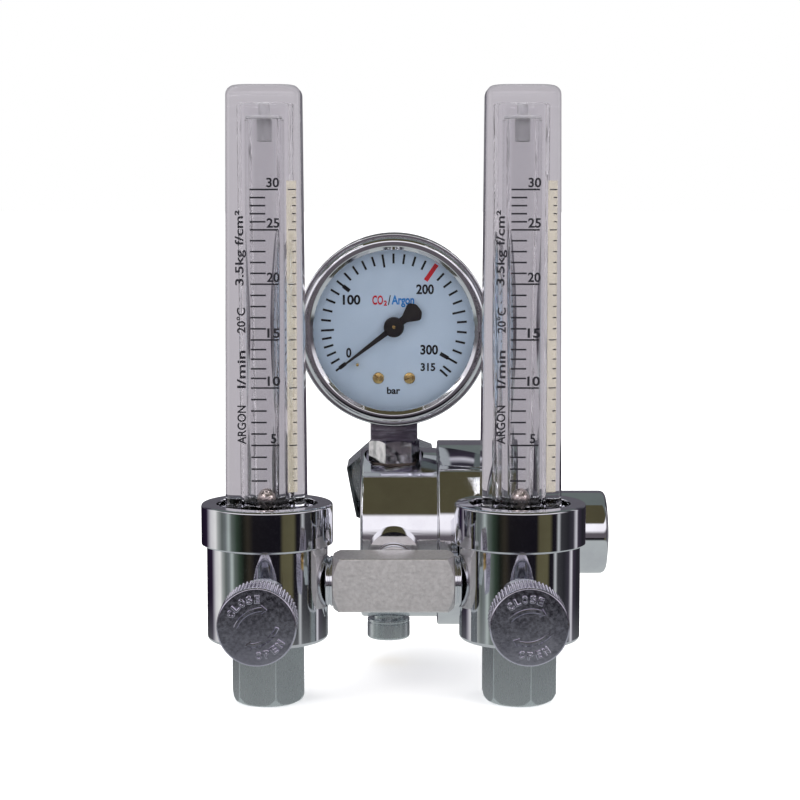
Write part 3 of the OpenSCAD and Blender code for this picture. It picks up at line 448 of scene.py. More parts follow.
def softened(outline: Outline, ring: bool = False) -> list[tuple[float, float]]:
    """Rounds the corners of an outline.

    Args:
        outline: Points of (radius, place) or (radius, place, rounding).
        ring: Whether the last point joins the first one.

    Returns:
        Points of (radius, place) with arcs in place of the rounded corners.
    """
    points: list[tuple[float, float]] = []
    for i, corner in enumerate(outline):
        here = Vector(corner[:2])
        size = corner[2] if len(corner) > 2 else 0.0
        if size <= 0 or (not ring and i in (0, len(outline) - 1)):
            points.append((here.x, here.y))
            continue
        before = Vector(outline[i - 1][:2]) - here
        after = Vector(outline[(i + 1) % len(outline)][:2]) - here
        half = before.angle(after) / 2
        reach = min(size / math.tan(half), 0.49 * before.length, 0.49 * after.length)
        before.normalize()
        after.normalize()
        centre = here + (before + after).normalized() * (reach / math.cos(half))
        start = here + before * reach - centre
        end = here + after * reach - centre
        sweep = math.atan2(start.x * end.y - start.y * end.x, start.dot(end))
        for k in range(ROUND_STEPS + 1):
            turned = Matrix.Rotation(sweep * k / ROUND_STEPS, 2) @ start
            points.append((centre.x + turned.x, centre.y + turned.y))
    return points


def skin(rows: Sequence[Row], axis: Axis, ring: bool = False, segments: int = SEGMENTS) -> bpy.types.Mesh:
    """Stretches a closed surface through rows of points round an axis.

    Args:
        rows: Each row's radius, or its radius by angle, and its place along the axis.
        axis: The axis.
        ring: Whether the last row joins the first one.
        segments: Points in each row.

    Returns:
        The surface, in millimetres.
    """
    bm = bmesh.new()
    loops = []
    for radius, along in rows:
        if not callable(radius) and radius < TINY:
            loops.append([bm.verts.new(axis.place(0.0, 0.0, along))])
            continue
        loop = []
        for k in range(segments):
            angle = math.tau * k / segments
            r = radius(angle) if callable(radius) else radius
            loop.append(bm.verts.new(axis.place(r * math.cos(angle), r * math.sin(angle), along)))
        loops.append(loop)
    pairs = list(zip(loops, loops[1:] + loops[:1] if ring else loops[1:]))
    for low, high in pairs:
        for k in range(segments):
            n = (k + 1) % segments
            corners = [low[k % len(low)], low[n % len(low)], high[n % len(high)], high[k % len(high)]]
            unique = list(dict.fromkeys(corners))
            if len(unique) > 2:
                bm.faces.new(unique)
    return mesh_of(bm)


def turned(outline: Outline, axis: Axis, ring: bool = False, segments: int = SEGMENTS) -> bpy.types.Mesh:
    """Turns an outline with rounded corners about an axis.

    Args:
        outline: Points of (radius, place) or (radius, place, rounding).
        axis: The axis.
        ring: Whether the outline is closed on itself, clear of the axis.
        segments: Points in each row.

    Returns:
        The turned shape.
    """
    return skin(softened(outline, ring), axis, ring, segments)


def rounded_polygon(sides: int, across: float, rounding: float,
                    turn: float = 0.0) -> list[tuple[float, float]]:
    """The outline of a regular polygon with rounded corners.

    Args:
        sides: Number of sides.
        across: Width across flats.
        rounding: Radius of the corners.
        turn: Degrees by which the first corner is turned.

    Returns:
        Points of (across, up).
    """
    corner = across / 2 / math.cos(math.pi / sides)
    angles = [math.radians(turn) + math.tau * k / sides for k in range(sides)]
    return softened([(corner * math.cos(a), corner * math.sin(a), rounding) for a in angles], ring=True)


def prism(outline: Sequence[tuple[float, float]], axis: Axis, low: float, high: float) -> bpy.types.Mesh:
    """Extrudes an outline along an axis.

    Args:
        outline: Points of (across, up).
        axis: The axis.
        low: Start along it.
        high: End along it.

    Returns:
        The closed prism.
    """
    bm = bmesh.new()
    ends = [[bm.verts.new(axis.place(u, v, w)) for u, v in outline] for w in (low, high)]
    bm.faces.new(ends[0])
    bm.faces.new(ends[1])
    count = len(outline)
    for k in range(count):
        n = (k + 1) % count
        bm.faces.new((ends[0][k], ends[0][n], ends[1][n], ends[1][k]))
    return mesh_of(bm)


def evaluated(obj: bpy.types.Object) -> bpy.types.Mesh:
    """The mesh an object has after its modifiers."""
    graph = bpy.context.evaluated_depsgraph_get()
    graph.update()
    return bpy.data.meshes.new_from_object(obj.evaluated_get(graph), preserve_all_data_layers=True,
                                           depsgraph=graph)


def stand_in(mesh: bpy.types.Mesh) -> bpy.types.Object:
    """Links a mesh to the scene for as long as a modifier needs it."""
    obj = bpy.data.objects.new("stand_in", mesh)
    bpy.context.scene.collection.objects.link(obj)
    return obj


def combined(base: bpy.types.Mesh, tool: bpy.types.Mesh, operation: str) -> bpy.types.Mesh:
    """Joins, cuts or crosses two closed shapes.

    Args:
        base: The shape that is worked on.
        tool: The other shape.
        operation: UNION, DIFFERENCE or INTERSECT.

    Returns:
        The resulting shape.
    """
    work, cutter = stand_in(base), stand_in(tool)
    modifier = work.modifiers.new("combine", "BOOLEAN")
    modifier.operation = operation
    modifier.solver = "EXACT"
    modifier.object = cutter
    result = evaluated(work)
    bpy.data.objects.remove(work)
    bpy.data.objects.remove(cutter)
    return result


def cut(base: bpy.types.Mesh, *tools: bpy.types.Mesh) -> bpy.types.Mesh:
    """Cuts each tool away from the base."""
    for tool in tools:
        base = combined(base, tool, "DIFFERENCE")
    return base


def crossed(base: bpy.types.Mesh, tool: bpy.types.Mesh) -> bpy.types.Mesh:
    """What two shapes have in common."""
    return combined(base, tool, "INTERSECT")


def merged(*meshes: bpy.types.Mesh) -> bpy.types.Mesh:
    """Several closed shapes kept as they are in one mesh."""
    bm = bmesh.new()
    for mesh in meshes:
        bm.from_mesh(mesh)
    return mesh_of(bm, outward=False)


def moved(mesh: bpy.types.Mesh, x: float = 0.0, y: float = 0.0, z: float = 0.0) -> bpy.types.Mesh:
    """Moves a mesh and returns it."""
    mesh.transform(Matrix.Translation((x, y, z)))
    return mesh


def rod(axis: Axis, low: float, high: float, r: float, segments: int = 64) -> bpy.types.Mesh:
    """A plain round tool for cutting."""
    return skin([(0.0, low), (r, low), (r, high), (0.0, high)], axis, segments=segments)


def lettering(text: str, height: float, depth: float, length: Optional[float] = None,
              weight: float = 0.0, soft: float = 0.0) -> bpy.types.Mesh:
    """Text as solid letters in the XZ plane, centred, facing -Y.

    Args:
        text: The letters.
        height: Height of a capital.
        depth: Thickness of the letters.
        length: Length that the whole text is brought to, if any.
        weight: How much each stroke is thickened on either side.
        soft: Rounding of the letters' edges.

    Returns:
        The letters, from y = 0 to y = -depth.
    """
    curve = bpy.data.curves.new("letters", "FONT")
    curve.body = text
    curve.size = height / CAPITAL_SHARE
    curve.extrude = depth / 2 - soft
    curve.bevel_depth = soft
    curve.bevel_resolution = 1
    curve.offset = weight
    curve.resolution_u = 4
    holder = bpy.data.objects.new("letters", curve)
    bpy.context.scene.collection.objects.link(holder)
    mesh = evaluated(holder)
    bpy.data.objects.remove(holder)
    low = Vector([min(v.co[i] for v in mesh.vertices) for i in range(3)])
    high = Vector([max(v.co[i] for v in mesh.vertices) for i in range(3)])
    middle_point = (low + high) / 2
    mesh.transform(Matrix.Translation((-middle_point.x, -middle_point.y, depth / 2 - middle_point.z)))
    if length is not None:
        mesh.transform(Matrix.Diagonal((length / (high.x - low.x), 1.0, 1.0, 1.0)))
    mesh.transform(Matrix.Rotation(math.pi / 2, 4, "X"))
    return mesh


class Repeater:
    """A Geometry Nodes tree that repeats a shape by a turn and a shift."""

    def __init__(self) -> None:
        """Builds the tree, ending in Realize Instances and Set Material."""
        self.tree = bpy.data.node_groups.new("repeat", "GeometryNodeTree")
        face = self.tree.interface
        face.new_socket(name="Shape", in_out="OUTPUT", socket_type="NodeSocketGeometry")
        kinds = {"Shape": "Geometry", "Count": "Int", "Turn": "Vector", "First": "Vector",
                 "Shift": "Vector", "Material": "Material"}
        self.sockets = {name: face.new_socket(name=name, in_out="INPUT", socket_type=f"NodeSocket{kind}")
                        for name, kind in kinds.items()}
        nodes, link = self.tree.nodes, self.tree.links.new
        start, end = nodes.new("NodeGroupInput"), nodes.new("NodeGroupOutput")
        index = nodes.new("GeometryNodeInputIndex")
        turn, shift = nodes.new("ShaderNodeVectorMath"), nodes.new("ShaderNodeVectorMath")
        for node, name in ((turn, "Turn"), (shift, "Shift")):
            node.operation = "SCALE"
            link(start.outputs[name], node.inputs[0])
            link(index.outputs[0], node.inputs["Scale"])
        whole = nodes.new("ShaderNodeVectorMath")
        whole.operation = "ADD"
        link(turn.outputs[0], whole.inputs[0])
        link(start.outputs["First"], whole.inputs[1])
        points = nodes.new("GeometryNodePoints")
        link(start.outputs["Count"], points.inputs["Count"])
        link(shift.outputs[0], points.inputs["Position"])
        place = nodes.new("GeometryNodeInstanceOnPoints")
        euler = nodes.new("FunctionNodeEulerToRotation")
        link(whole.outputs[0], euler.inputs[0])
        link(points.outputs[0], place.inputs["Points"])
        link(start.outputs["Shape"], place.inputs["Instance"])
        link(euler.outputs[0], place.inputs["Rotation"])
        real = nodes.new("GeometryNodeRealizeInstances")
        link(place.outputs[0], real.inputs[0])
        coat = nodes.new("GeometryNodeSetMaterial")
        link(real.outputs[0], coat.inputs["Geometry"])
        link(start.outputs["Material"], coat.inputs["Material"])
        link(coat.outputs[0], end.inputs[0])

    def apply(self, mesh: bpy.types.Mesh, finish: Finish, count: int,
              turn: Sequence[float] = (0.0, 0.0, 0.0), first: Sequence[float] = (0.0, 0.0, 0.0),
              shift: Sequence[float] = (0.0, 0.0, 0.0)) -> bpy.types.Mesh:
        """Repeats a shape.

        Args:
            mesh: The first shape, placed about the origin.
            finish: The finish of every copy.
            count: Number of copies.
            turn: Turn from each copy to the next, in radians about X, Y and Z.
            first: Turn of the first copy.
            shift: Move from each copy to the next.

        Returns:
            All the copies in one mesh.
        """
        holder = stand_in(mesh)
        modifier = holder.modifiers.new("repeat", "NODES")
        modifier.node_group = self.tree
        values = {"Count": count, "Turn": turn, "First": first, "Shift": shift,
                  "Material": finish.material()}
        for name, value in values.items():
            modifier[self.sockets[name].identifier] = value
        result = evaluated(holder)
        bpy.data.objects.remove(holder)
        return result


# ---------------------------------------------------------------- fitting


class Fitter:
    """Turns finished shapes into pieces of the object."""

    def __init__(self, frame: dict) -> None:
        """Keeps the frame and makes the repeating tree."""
        self.frame = frame
        self.repeater = Repeater()
        self.count = 0

    def fit(self, name: str, mesh: bpy.types.Mesh, finish: Finish, slot: Slot, body: str,
            *nodes: str) -> bpy.types.Object:
        """Adds a piece.

        Args:
            name: The piece's name.
            mesh: Its shape, in millimetres.
            finish: Its finish.
            slot: The record's slot that it belongs to; not used.
            body: The body that it rides on.
            *nodes: The nodes that it stands for.

        Returns:
            The piece.
        """
        mesh.transform(Matrix.Scale(MM, 4))
        mesh.shade_smooth()
        mesh.set_sharp_from_angle(angle=SMOOTH_ANGLE)
        holder = stand_in(mesh)
        weigh = holder.modifiers.new("even_faces", "WEIGHTED_NORMAL")
        weigh.keep_sharp = True
        shape = evaluated(holder)
        bpy.data.objects.remove(holder)
        shape.materials.clear()
        shape.materials.append(finish.material())
        shape.name = name
        obj = bpy.data.objects.new(name, shape)
        bpy.context.scene.collection.objects.link(obj)
        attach(obj, body)
        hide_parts(*nodes)
        self.count += 1
        log.info("%s: %d faces on %s, finish %s", name, len(shape.polygons), body, finish.name)
        return obj

    def coil(self, name: str, node: str, joint: str, axis: Vector, anchor: Vector, travel: float) -> None:
        """Stands a coil spring in for its node.

        Args:
            name: The piece's name.
            node: The spring's node.
            joint: The joint of the part that it presses on; not used.
            axis: Direction along the spring; not used.
            anchor: The end that stays, in millimetres; not used.
            travel: How far the other end moves, in millimetres; not used.
        """
        mesh = self.frame["nodes"][node].data.copy()
        mesh.transform(Matrix.Scale(1 / MM, 4))
        bm = bmesh.new()
        bm.from_mesh(mesh)
        bmesh.ops.remove_doubles(bm, verts=bm.verts, dist=0.001)
        spring = self.fit(name, mesh_of(bm), SPRING_STEEL, Slot.SPRING_STEEL, "root", node)
        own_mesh(spring)

    def coat(self, finish: Finish, *nodes: str) -> None:
        """Gives nodes whose shape stays a finish."""
        for node in nodes:
            data = self.frame["nodes"][node].data
            data.materials.clear()
            data.materials.append(finish.material())
            log.info("%s: keeps its shape, finish %s", node, finish.name)


def box_mm(node: str) -> tuple[Vector, Vector]:
    """Lowest and highest corner of a node, in millimetres."""
    low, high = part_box(node)
    return low / MM, high / MM


def middle(node: str) -> Vector:
    """Centre of a node's box, in millimetres."""
    low, high = box_mm(node)
    return (low + high) / 2


# ---------------------------------------------------------------- regulator


@dataclass
class Regulator:
    """The preset regulator: body, bonnet, cap and closing plug, turned about X."""

    fitter: Fitter
    edge: float = 1.2
    boss_r: float = 8.5
    boss_rise: float = 3.0
    inlet_boss_r: float = 11.0
    spot_r: float = 10.0
    cap_edge: float = 4.0
    plug_r: float = 7.0
    plug_depth: float = 7.0
    key_across: float = 5.16
    vent_r: float = 1.2
    plate_travel: float = 0.7

    def build(self) -> None:
        """Builds the four outer pieces and dresses the inner ones."""
        self.body()
        self.bonnet()
        self.cap()
        self.plug()
        fit = self.fitter
        fit.coat(STEEL, "adjusting_screw", "adjuster_lock_nut", "spring_button")
        fit.coat(SPRING_STEEL, "poppet_spring")
        fit.coil("load_spring", "main_spring", "regulating_travel", Vector((1.0, 0.0, 0.0)),
                 box_mm("main_spring")[1], self.plate_travel)
        fit.coat(RUBBER, "diaphragm")
        fit.coat(BRASS, "diaphragm_plate", "valve_nozzle", "valve_poppet")

    def body(self) -> None:
        """Builds the chromed body with its bosses, flats and chambers."""
        low, high = box_mm("regulator_body")
        joint = box_mm("bonnet")[0].x - 0.1
        bonnet_low, bonnet_high = box_mm("bonnet")
        axis_y, axis_z = (bonnet_low.y + bonnet_high.y) / 2, (bonnet_low.z + bonnet_high.z) / 2
        adapter = middle("gauge_adapter")
        spot_z = box_mm("seal_rings")[1].z - 0.8
        relief = middle("relief_body")
        connector = middle("outlet_connector")
        r = max(axis_z - low.z, high.z - axis_z)
        shell = turned([(0, low.x), (r, low.x, self.edge), (r, joint, 0.4), (r - 0.9, joint),
                        (r - 0.9, high.x), (0, high.x)], Axis.X, segments=FINE_SEGMENTS)
        moved(shell, y=axis_y, z=axis_z)
        half_turn = [math.pi * k / 48 for k in range(49)]
        stadium = [(connector.z + self.boss_rise + self.boss_r * math.sin(a), self.boss_r * math.cos(a))
                   for a in half_turn]
        stadium += [(connector.z - self.boss_r * math.sin(a), -self.boss_r * math.cos(a)) for a in half_turn]
        boss = prism(stadium, Axis.Y, low.y, axis_y)
        inlet = turned([(0, axis_y), (self.inlet_boss_r, axis_y), (self.inlet_boss_r, high.y, 0.7),
                        (0, high.y)], Axis.Y)
        shell = combined(combined(shell, boss, "UNION"), inlet, "UNION")
        shell = cut(
            shell,
            moved(rod(Axis.Z, spot_z, spot_z + 9, self.spot_r), y=adapter.y),
            moved(rod(Axis.Z, spot_z - 9, spot_z + 0.1, 6.05), y=adapter.y),
            moved(rod(Axis.Z, low.z - 3, low.z + 0.02, 8.3), x=relief.x, y=relief.y),
            moved(rod(Axis.Z, low.z - 1, low.z + 9, 5.55), x=relief.x, y=relief.y),
            moved(rod(Axis.Y, low.y - 1, low.y + 8, 4.55), z=connector.z),
            rod(Axis.Y, high.y - 9, high.y + 1, 7.65),
            moved(rod(Axis.X, low.x - 1, low.x + self.plug_depth, self.plug_r + 0.05), y=axis_y, z=axis_z),
            moved(rod(Axis.X, low.x + 3, joint + 1, 6.0), y=axis_y, z=axis_z),
            moved(rod(Axis.X, joint - 0.5, high.x + 1, r - 6.9), y=axis_y, z=axis_z),
        )
        self.fitter.fit("body_shell", shell, CHROME, Slot.CHROME, "root", "regulator_body")

    def bonnet(self) -> None:
        """Builds the chromed bonnet with its vent hole and its hidden neck."""
        low, high = box_mm("bonnet")
        r = (high.z - low.z) / 2
        centre = middle("bonnet")
        step = box_mm("adjuster_cap")[0].x - 0.3
        neck_r = 12.0
        room_r = r - 7.6
        shell = turned([(room_r + 0.1, low.x), (r, low.x, 0.5), (r, step, 1.6), (neck_r + 0.5, step),
                        (neck_r, step + 4), (neck_r, high.x), (5.1, high.x), (5.1, high.x - 7),
                        (9.4, high.x - 7), (9.4, step - 4), (room_r, step - 4)],
                       Axis.X, ring=True, segments=FINE_SEGMENTS)
        moved(shell, y=centre.y, z=centre.z)
        vent = rod(Axis.Z, low.z - 1, low.z + 9, self.vent_r, 24)
        moved(vent, x=(low.x + step) / 2 + 4, y=centre.y)
        self.fitter.fit("bonnet_shell", cut(shell, vent), CHROME, Slot.CHROME, "root", "bonnet")

    def cap(self) -> None:
        """Builds the rounded cap over the adjusting screw."""
        low, high = box_mm("adjuster_cap")
        centre = middle("adjuster_cap")
        r = (high.z - low.z) / 2
        end = high.x - 0.9
        dome = [(r * 0.72 * math.cos(math.radians(a)), end + 0.9 * math.sin(math.radians(a)))
                for a in range(0, 90, 15)]
        outline: list[tuple[float, ...]] = [(0, end - 4), (r - 1.6, end - 4, 1.0), (r - 1.6, low.x),
                                            (r, low.x, 0.4), (r, end, self.cap_edge)]
        outline += dome + [(0, high.x)]
        shell = moved(turned(outline, Axis.X), y=centre.y, z=centre.z)
        self.fitter.fit("cap_shell", shell, CHROME, Slot.CHROME, "root", "adjuster_cap")

    def plug(self) -> None:
        """Builds the closing plug with its socket for a hexagon key."""
        low, high = box_mm("valve_plug")
        centre = middle("valve_plug")
        disc = turned([(0, low.x), (self.plug_r, low.x, 0.6), (self.plug_r, high.x, 0.3), (0, high.x)],
                      Axis.X)
        key = prism(rounded_polygon(6, self.key_across, 0.1, 30), Axis.X, low.x - 1, low.x + 3)
        self.fitter.fit("closing_plug", moved(cut(disc, key), y=centre.y, z=centre.z), HEX_PLATE,
                        Slot.HEX_PLATE, "root", "valve_plug")


@dataclass
class Inlet:
    """The inlet: nipple, filter, washer and the nut that turns on it, all about Y."""

    fitter: Fitter
    across: float = 32.0
    turn: float = 19.0
    pitch: float = 1.814
    chamfer: float = 2.6
    crest_r: float = 9.9
    root_r: float = 10.75
    thread_start: float = 0.8
    stem_r: float = 7.6
    shoulder: float = 5.0

    def build(self) -> None:
        """Builds the four inlet pieces."""
        self.nut()
        self.nipple()
        self.soft_parts()

    def thread_row(self, along: float) -> Callable[[float], float]:
        """Radius of the nut's thread by angle at one place along it."""

        def radius(angle: float) -> float:
            """Radius between the thread's crest and root."""
            phase = (along / self.pitch - angle / math.tau) % 1.0
            ridge = min(1.0, max(0.0, 2.4 * (1.0 - abs(2 * phase - 1.0)) - 0.7))
            return self.root_r - (self.root_r - self.crest_r) * ridge

        return radius

    def nut(self) -> None:
        """Builds the nut: chamfered hexagon, threaded bore and shoulder."""
        low, high = box_mm("inlet_nut")
        corner = self.across / math.sqrt(3)
        ledge = low.y + self.shoulder
        hexagon = prism(rounded_polygon(6, self.across, 0.5, 90 + self.turn), Axis.Y, low.y, high.y)
        cone = turned([(0, low.y), (corner - self.chamfer, low.y), (corner + 0.3, low.y + 1.7),
                       (corner + 0.3, high.y - 1.7), (corner - self.chamfer, high.y), (0, high.y)], Axis.Y)
        rise = self.pitch / 8
        steps = int((high.y - self.thread_start) / rise)
        rows: list[Row] = [(0.0, low.y - 1), (self.stem_r + 0.4, low.y - 1), (self.stem_r + 0.4, ledge),
                           (self.crest_r + 0.6, ledge), (self.crest_r + 0.6, 0.4)]
        places = [self.thread_start + k * rise for k in range(steps)]
        rows += [(self.thread_row(place), place) for place in places]
        rows += [(self.root_r + 0.2, high.y - 0.2), (self.root_r + 0.9, high.y + 0.5), (0.0, high.y + 0.5)]
        bore = skin(rows, Axis.Y, segments=96)
        nut = cut(crossed(hexagon, cone), bore)
        self.fitter.fit("union_nut", nut, HEX_PLATE, Slot.HEX_PLATE, "nut", "inlet_nut")

    def nipple(self) -> None:
        """Builds the brass nipple with its collar and filter seat."""
        low, high = box_mm("inlet_nipple")
        collar = high.y - 5
        r = (high.z - low.z) / 2
        outline = [(3.0, low.y), (self.stem_r, low.y, 0.5), (self.stem_r, collar, 0.6), (r, collar, 0.3),
                   (r, high.y, 0.7), (7.45, high.y, 0.2), (7.45, high.y - 1.1), (3.65, high.y - 1.1),
                   (3.65, high.y - 9), (3.0, high.y - 9)]
        self.fitter.fit("inlet_stem", turned(outline, Axis.Y, ring=True), BRASS, Slot.BRASS, "root",
                        "inlet_nipple")

    def soft_parts(self) -> None:
        """Builds the sintered filter and the soft washer."""
        low, high = box_mm("inlet_filter")
        r = (high.z - low.z) / 2
        disc = turned([(0, low.y), (r, low.y, 0.3), (r, high.y, 0.5), (0, high.y - 0.25)], Axis.Y)
        self.fitter.fit("filter_disc", disc, SINTERED, Slot.BRASS, "root", "inlet_filter")
        low, high = box_mm("inlet_washer")
        r = (high.z - low.z) / 2
        ring = turned([(3.5, low.y, 0.2), (r, low.y, 0.2), (r, high.y, 0.35), (3.5, high.y, 0.35)],
                      Axis.Y, ring=True)
        self.fitter.fit("sealing_washer", ring, SOFT_WHITE, Slot.SOFT_SEAL, "root", "inlet_washer")


@dataclass
class SafetyValve:
    """The safety valve under the body, turned about Z."""

    fitter: Fitter
    head_r: float = 7.3
    bore_r: float = 4.2
    lift: float = 1.5

    def build(self) -> None:
        """Builds the head and its slotted screw."""
        low, high = box_mm("relief_body")
        centre = middle("relief_body")
        top = low.z + 6.7
        groove = low.z + 5.3
        outline = [(self.bore_r, low.z, 0.3), (self.head_r, low.z, 0.8), (self.head_r, groove, 0.15),
                   (self.head_r - 0.35, groove, 0.1), (self.head_r - 0.35, groove + 0.5, 0.1),
                   (self.head_r, groove + 0.5, 0.15), (self.head_r, top, 0.3), (5.5, top),
                   (5.5, high.z, 0.4), (1.5, high.z), (1.5, high.z - 2.4), (self.bore_r, high.z - 2.4)]
        head = moved(turned(outline, Axis.Z, ring=True), centre.x, centre.y)
        self.fitter.fit("safety_head", head, HEX_PLATE, Slot.HEX_PLATE, "root", "relief_body")
        low, high = box_mm("relief_screw")
        r = (high.x - low.x) / 2
        disc = turned([(1.2, low.z, 0.2), (r, low.z, 0.4), (r, high.z, 0.2), (1.2, high.z)],
                      Axis.Z, ring=True)
        slot = prism([(-r - 1, -0.5), (r + 1, -0.5), (r + 1, 0.5), (-r - 1, 0.5)],
                     Axis.Z, low.z - 1, low.z + 1)
        screw = moved(cut(disc, slot), centre.x, centre.y)
        self.fitter.fit("safety_screw", screw, BRASS, Slot.BRASS, "root", "relief_screw")
        self.fitter.coat(RUBBER, "relief_disc")
        self.fitter.coil("blow_off_spring", "relief_spring", "relief_lift", Vector((0.0, 0.0, 1.0)),
                         box_mm("relief_spring")[0], self.lift)


# ---------------------------------------------------------------- gauge


@dataclass
class Gauge:
    """The contents gauge: socket, case, bezel, window, printed dial and pointer."""

    fitter: Fitter
    bar_angles: tuple[tuple[int, float], ...] = ((0, 217.3), (50, 183.0), (100, 141.1), (150, 99.0),
                                                 (200, 55.5), (250, 12.5), (300, -30.1))
    last_angles: tuple[float, ...] = (-38.6, -42.9)
    tick_out: float = 24.4
    tick_short: float = 3.3
    tick_long: float = 4.4
    tick_wide: float = 0.72
    stroke: float = 0.045
    ink: float = 0.04
    gas_way_r: float = 1.5
    screw_r: float = 1.9
    stop_r: float = 17.5
    stop_angle: float = 226.0
    pointer_reach: float = 21.0
    blocks: tuple[tuple[float, float, float], ...] = ((217.3, 20.3, 22.9), (141.1, 19.0, 21.7),
                                                      (-30.1, 17.9, 21.0))
    numbers: tuple[tuple[str, float, float, float, float], ...] = (
        ("0", -15.1, -8.7, 3.2, 1.75), ("100", -14.1, 9.0, 3.2, 5.9), ("200", 10.4, 12.5, 3.2, 5.9),
        ("300", 11.8, -7.7, 3.2, 5.9), ("315", 11.4, -13.5, 2.6, 4.9), ("bar", -0.1, -21.4, 2.3, 4.5))
    hub: Vector = field(default_factory=Vector)
    centre: Vector = field(default_factory=Vector)
    dial_y: float = 0.0

    def build(self) -> None:
        """Builds every gauge piece and dresses the movement."""
        self.hub = middle("pointer_arbor")
        self.centre = middle("gauge_case")
        self.dial_y = box_mm("gauge_dial")[1].y - 0.6
        self.fittings()
        self.case()
        self.window()
        self.dial()
        self.print_dial()
        self.pointer()
        self.screws()
        self.fitter.coat(BRASS, "bourdon_tube", "movement_plates", "sector_gear", "pointer_arbor")

    def at_centre(self, mesh: bpy.types.Mesh) -> bpy.types.Mesh:
        """Moves a mesh to the case's axis."""
        return moved(mesh, self.centre.x, 0.0, self.centre.z)

    def fittings(self) -> None:
        """Builds the adapter, the square socket and the fibre washers."""
        low, high = box_mm("gauge_adapter")
        stem = middle("gauge_adapter")
        seat = box_mm("seal_rings")[1].z
        across = 15.2
        corner = across / math.sqrt(3)
        hexagon = prism(rounded_polygon(6, across, 0.35, 12), Axis.Z, seat, high.z)
        cone = turned([(0, seat), (corner - 0.3, seat), (corner + 0.2, seat + 0.5),
                       (corner + 0.2, high.z - 1.1), (corner - 1.4, high.z), (0, high.z)], Axis.Z)
        grip = turned([(0, low.z), (6.0, low.z, 0.5), (6.0, seat + 0.2), (0, seat + 0.2)], Axis.Z)
        adapter = combined(crossed(hexagon, cone), grip, "UNION")
        adapter = cut(adapter, rod(Axis.Z, low.z + 3, high.z + 1, 4.65),
                      rod(Axis.Z, low.z - 1, high.z, self.gas_way_r))
        self.fitter.fit("stem_adapter", moved(adapter, stem.x, stem.y), ADAPTER_PLATE, Slot.HEX_PLATE,
                        "root", "gauge_adapter")
        low, high = box_mm("gauge_socket")
        foot = box_mm("gauge_adapter")[1].z + 0.05
        square = prism(rounded_polygon(4, 15.8, 0.7, 45), Axis.Z, foot, foot + 16)
        trim = turned([(0, foot), (10.2, foot), (12.5, foot + 1.3), (12.5, foot + 16), (0, foot + 16)],
                      Axis.Z)
        neck = rod(Axis.Z, low.z, foot + 1, 4.6)
        column = prism([(-6, 0), (6, 0), (6, 5.38), (-6, 5.38)], Axis.Z, foot + 2, high.z)
        column_y = self.dial_y + 3.01
        socket = combined(crossed(square, trim), neck, "UNION")
        socket = moved(socket, stem.x, stem.y)
        case_r = (box_mm("gauge_case")[1].x - box_mm("gauge_case")[0].x) / 2
        drum = self.at_centre(rod(Axis.Y, -140, 20, case_r + 0.05, 128))
        socket = combined(cut(socket, drum), moved(column, 0.0, column_y), "UNION")
        socket = cut(socket, moved(rod(Axis.Z, low.z - 1, foot + 14, self.gas_way_r, 24), stem.x, stem.y))
        self.fitter.fit("square_socket", socket, SOCKET_PLATE, Slot.SATIN_PLATE, "root", "gauge_socket")
        flat = turned([(6.05, seat - 0.78, 0.1), (7.6, seat - 0.78, 0.2), (7.6, seat, 0.2),
                       (6.05, seat, 0.1)], Axis.Z, ring=True)
        moved(flat, stem.x, stem.y)
        back = box_mm("seal_rings")[0].y
        upright = turned([(4.55, back, 0.1), (7.5, back, 0.2), (7.5, back + 0.8, 0.2),
                          (4.55, back + 0.8, 0.1)], Axis.Y, ring=True)
        upright = moved(upright, z=middle("outlet_connector").z)
        self.fitter.fit("fibre_washers", merged(flat, upright), FIBRE, Slot.FIBRE, "root", "seal_rings")

    def case(self) -> None:
        """Builds the case drum and the stepped bezel."""
        low, high = box_mm("gauge_case")
        r = (high.x - low.x) / 2
        wall = 1.4
        outline = [(0, high.y), (r, high.y, 2.0), (r, low.y, 0.5), (r - wall, low.y, 0.2),
                   (r - wall, high.y - wall, 1.0), (0, high.y - wall)]
        drum = self.at_centre(turned(outline, Axis.Y, segments=FINE_SEGMENTS))
        slot = prism([(low.z - 1, -6.05), (low.z + 6, -6.05), (low.z + 6, 6.05), (low.z - 1, 6.05)], Axis.Y,
                     self.dial_y + 2.96, self.dial_y + 8.44)
        self.fitter.fit("case_drum", cut(drum, slot), CHROME, Slot.CHROME, "root", "gauge_case")
        b_low, b_high = box_mm("gauge_bezel")
        br = (b_high.x - b_low.x) / 2
        opening = br - 4.1
        window = box_mm("gauge_window")
        outline = [(br, low.y - 0.05, 0.2), (br, b_low.y, 2.0), (br - 2.8, b_low.y, 0.7),
                   (opening + 0.15, window[0].y - 0.45, 0.3), (opening, window[0].y - 0.02),
                   (br - 1.75, window[0].y - 0.02), (br - 1.75, b_high.y, 0.1),
                   (r - 1.45, b_high.y, 0.3), (r - 1.45, low.y - 0.05)]
        bezel = self.at_centre(turned(outline, Axis.Y, ring=True, segments=FINE_SEGMENTS))
        self.fitter.fit("bezel_ring", bezel, CHROME, Slot.CHROME, "root", "gauge_bezel")

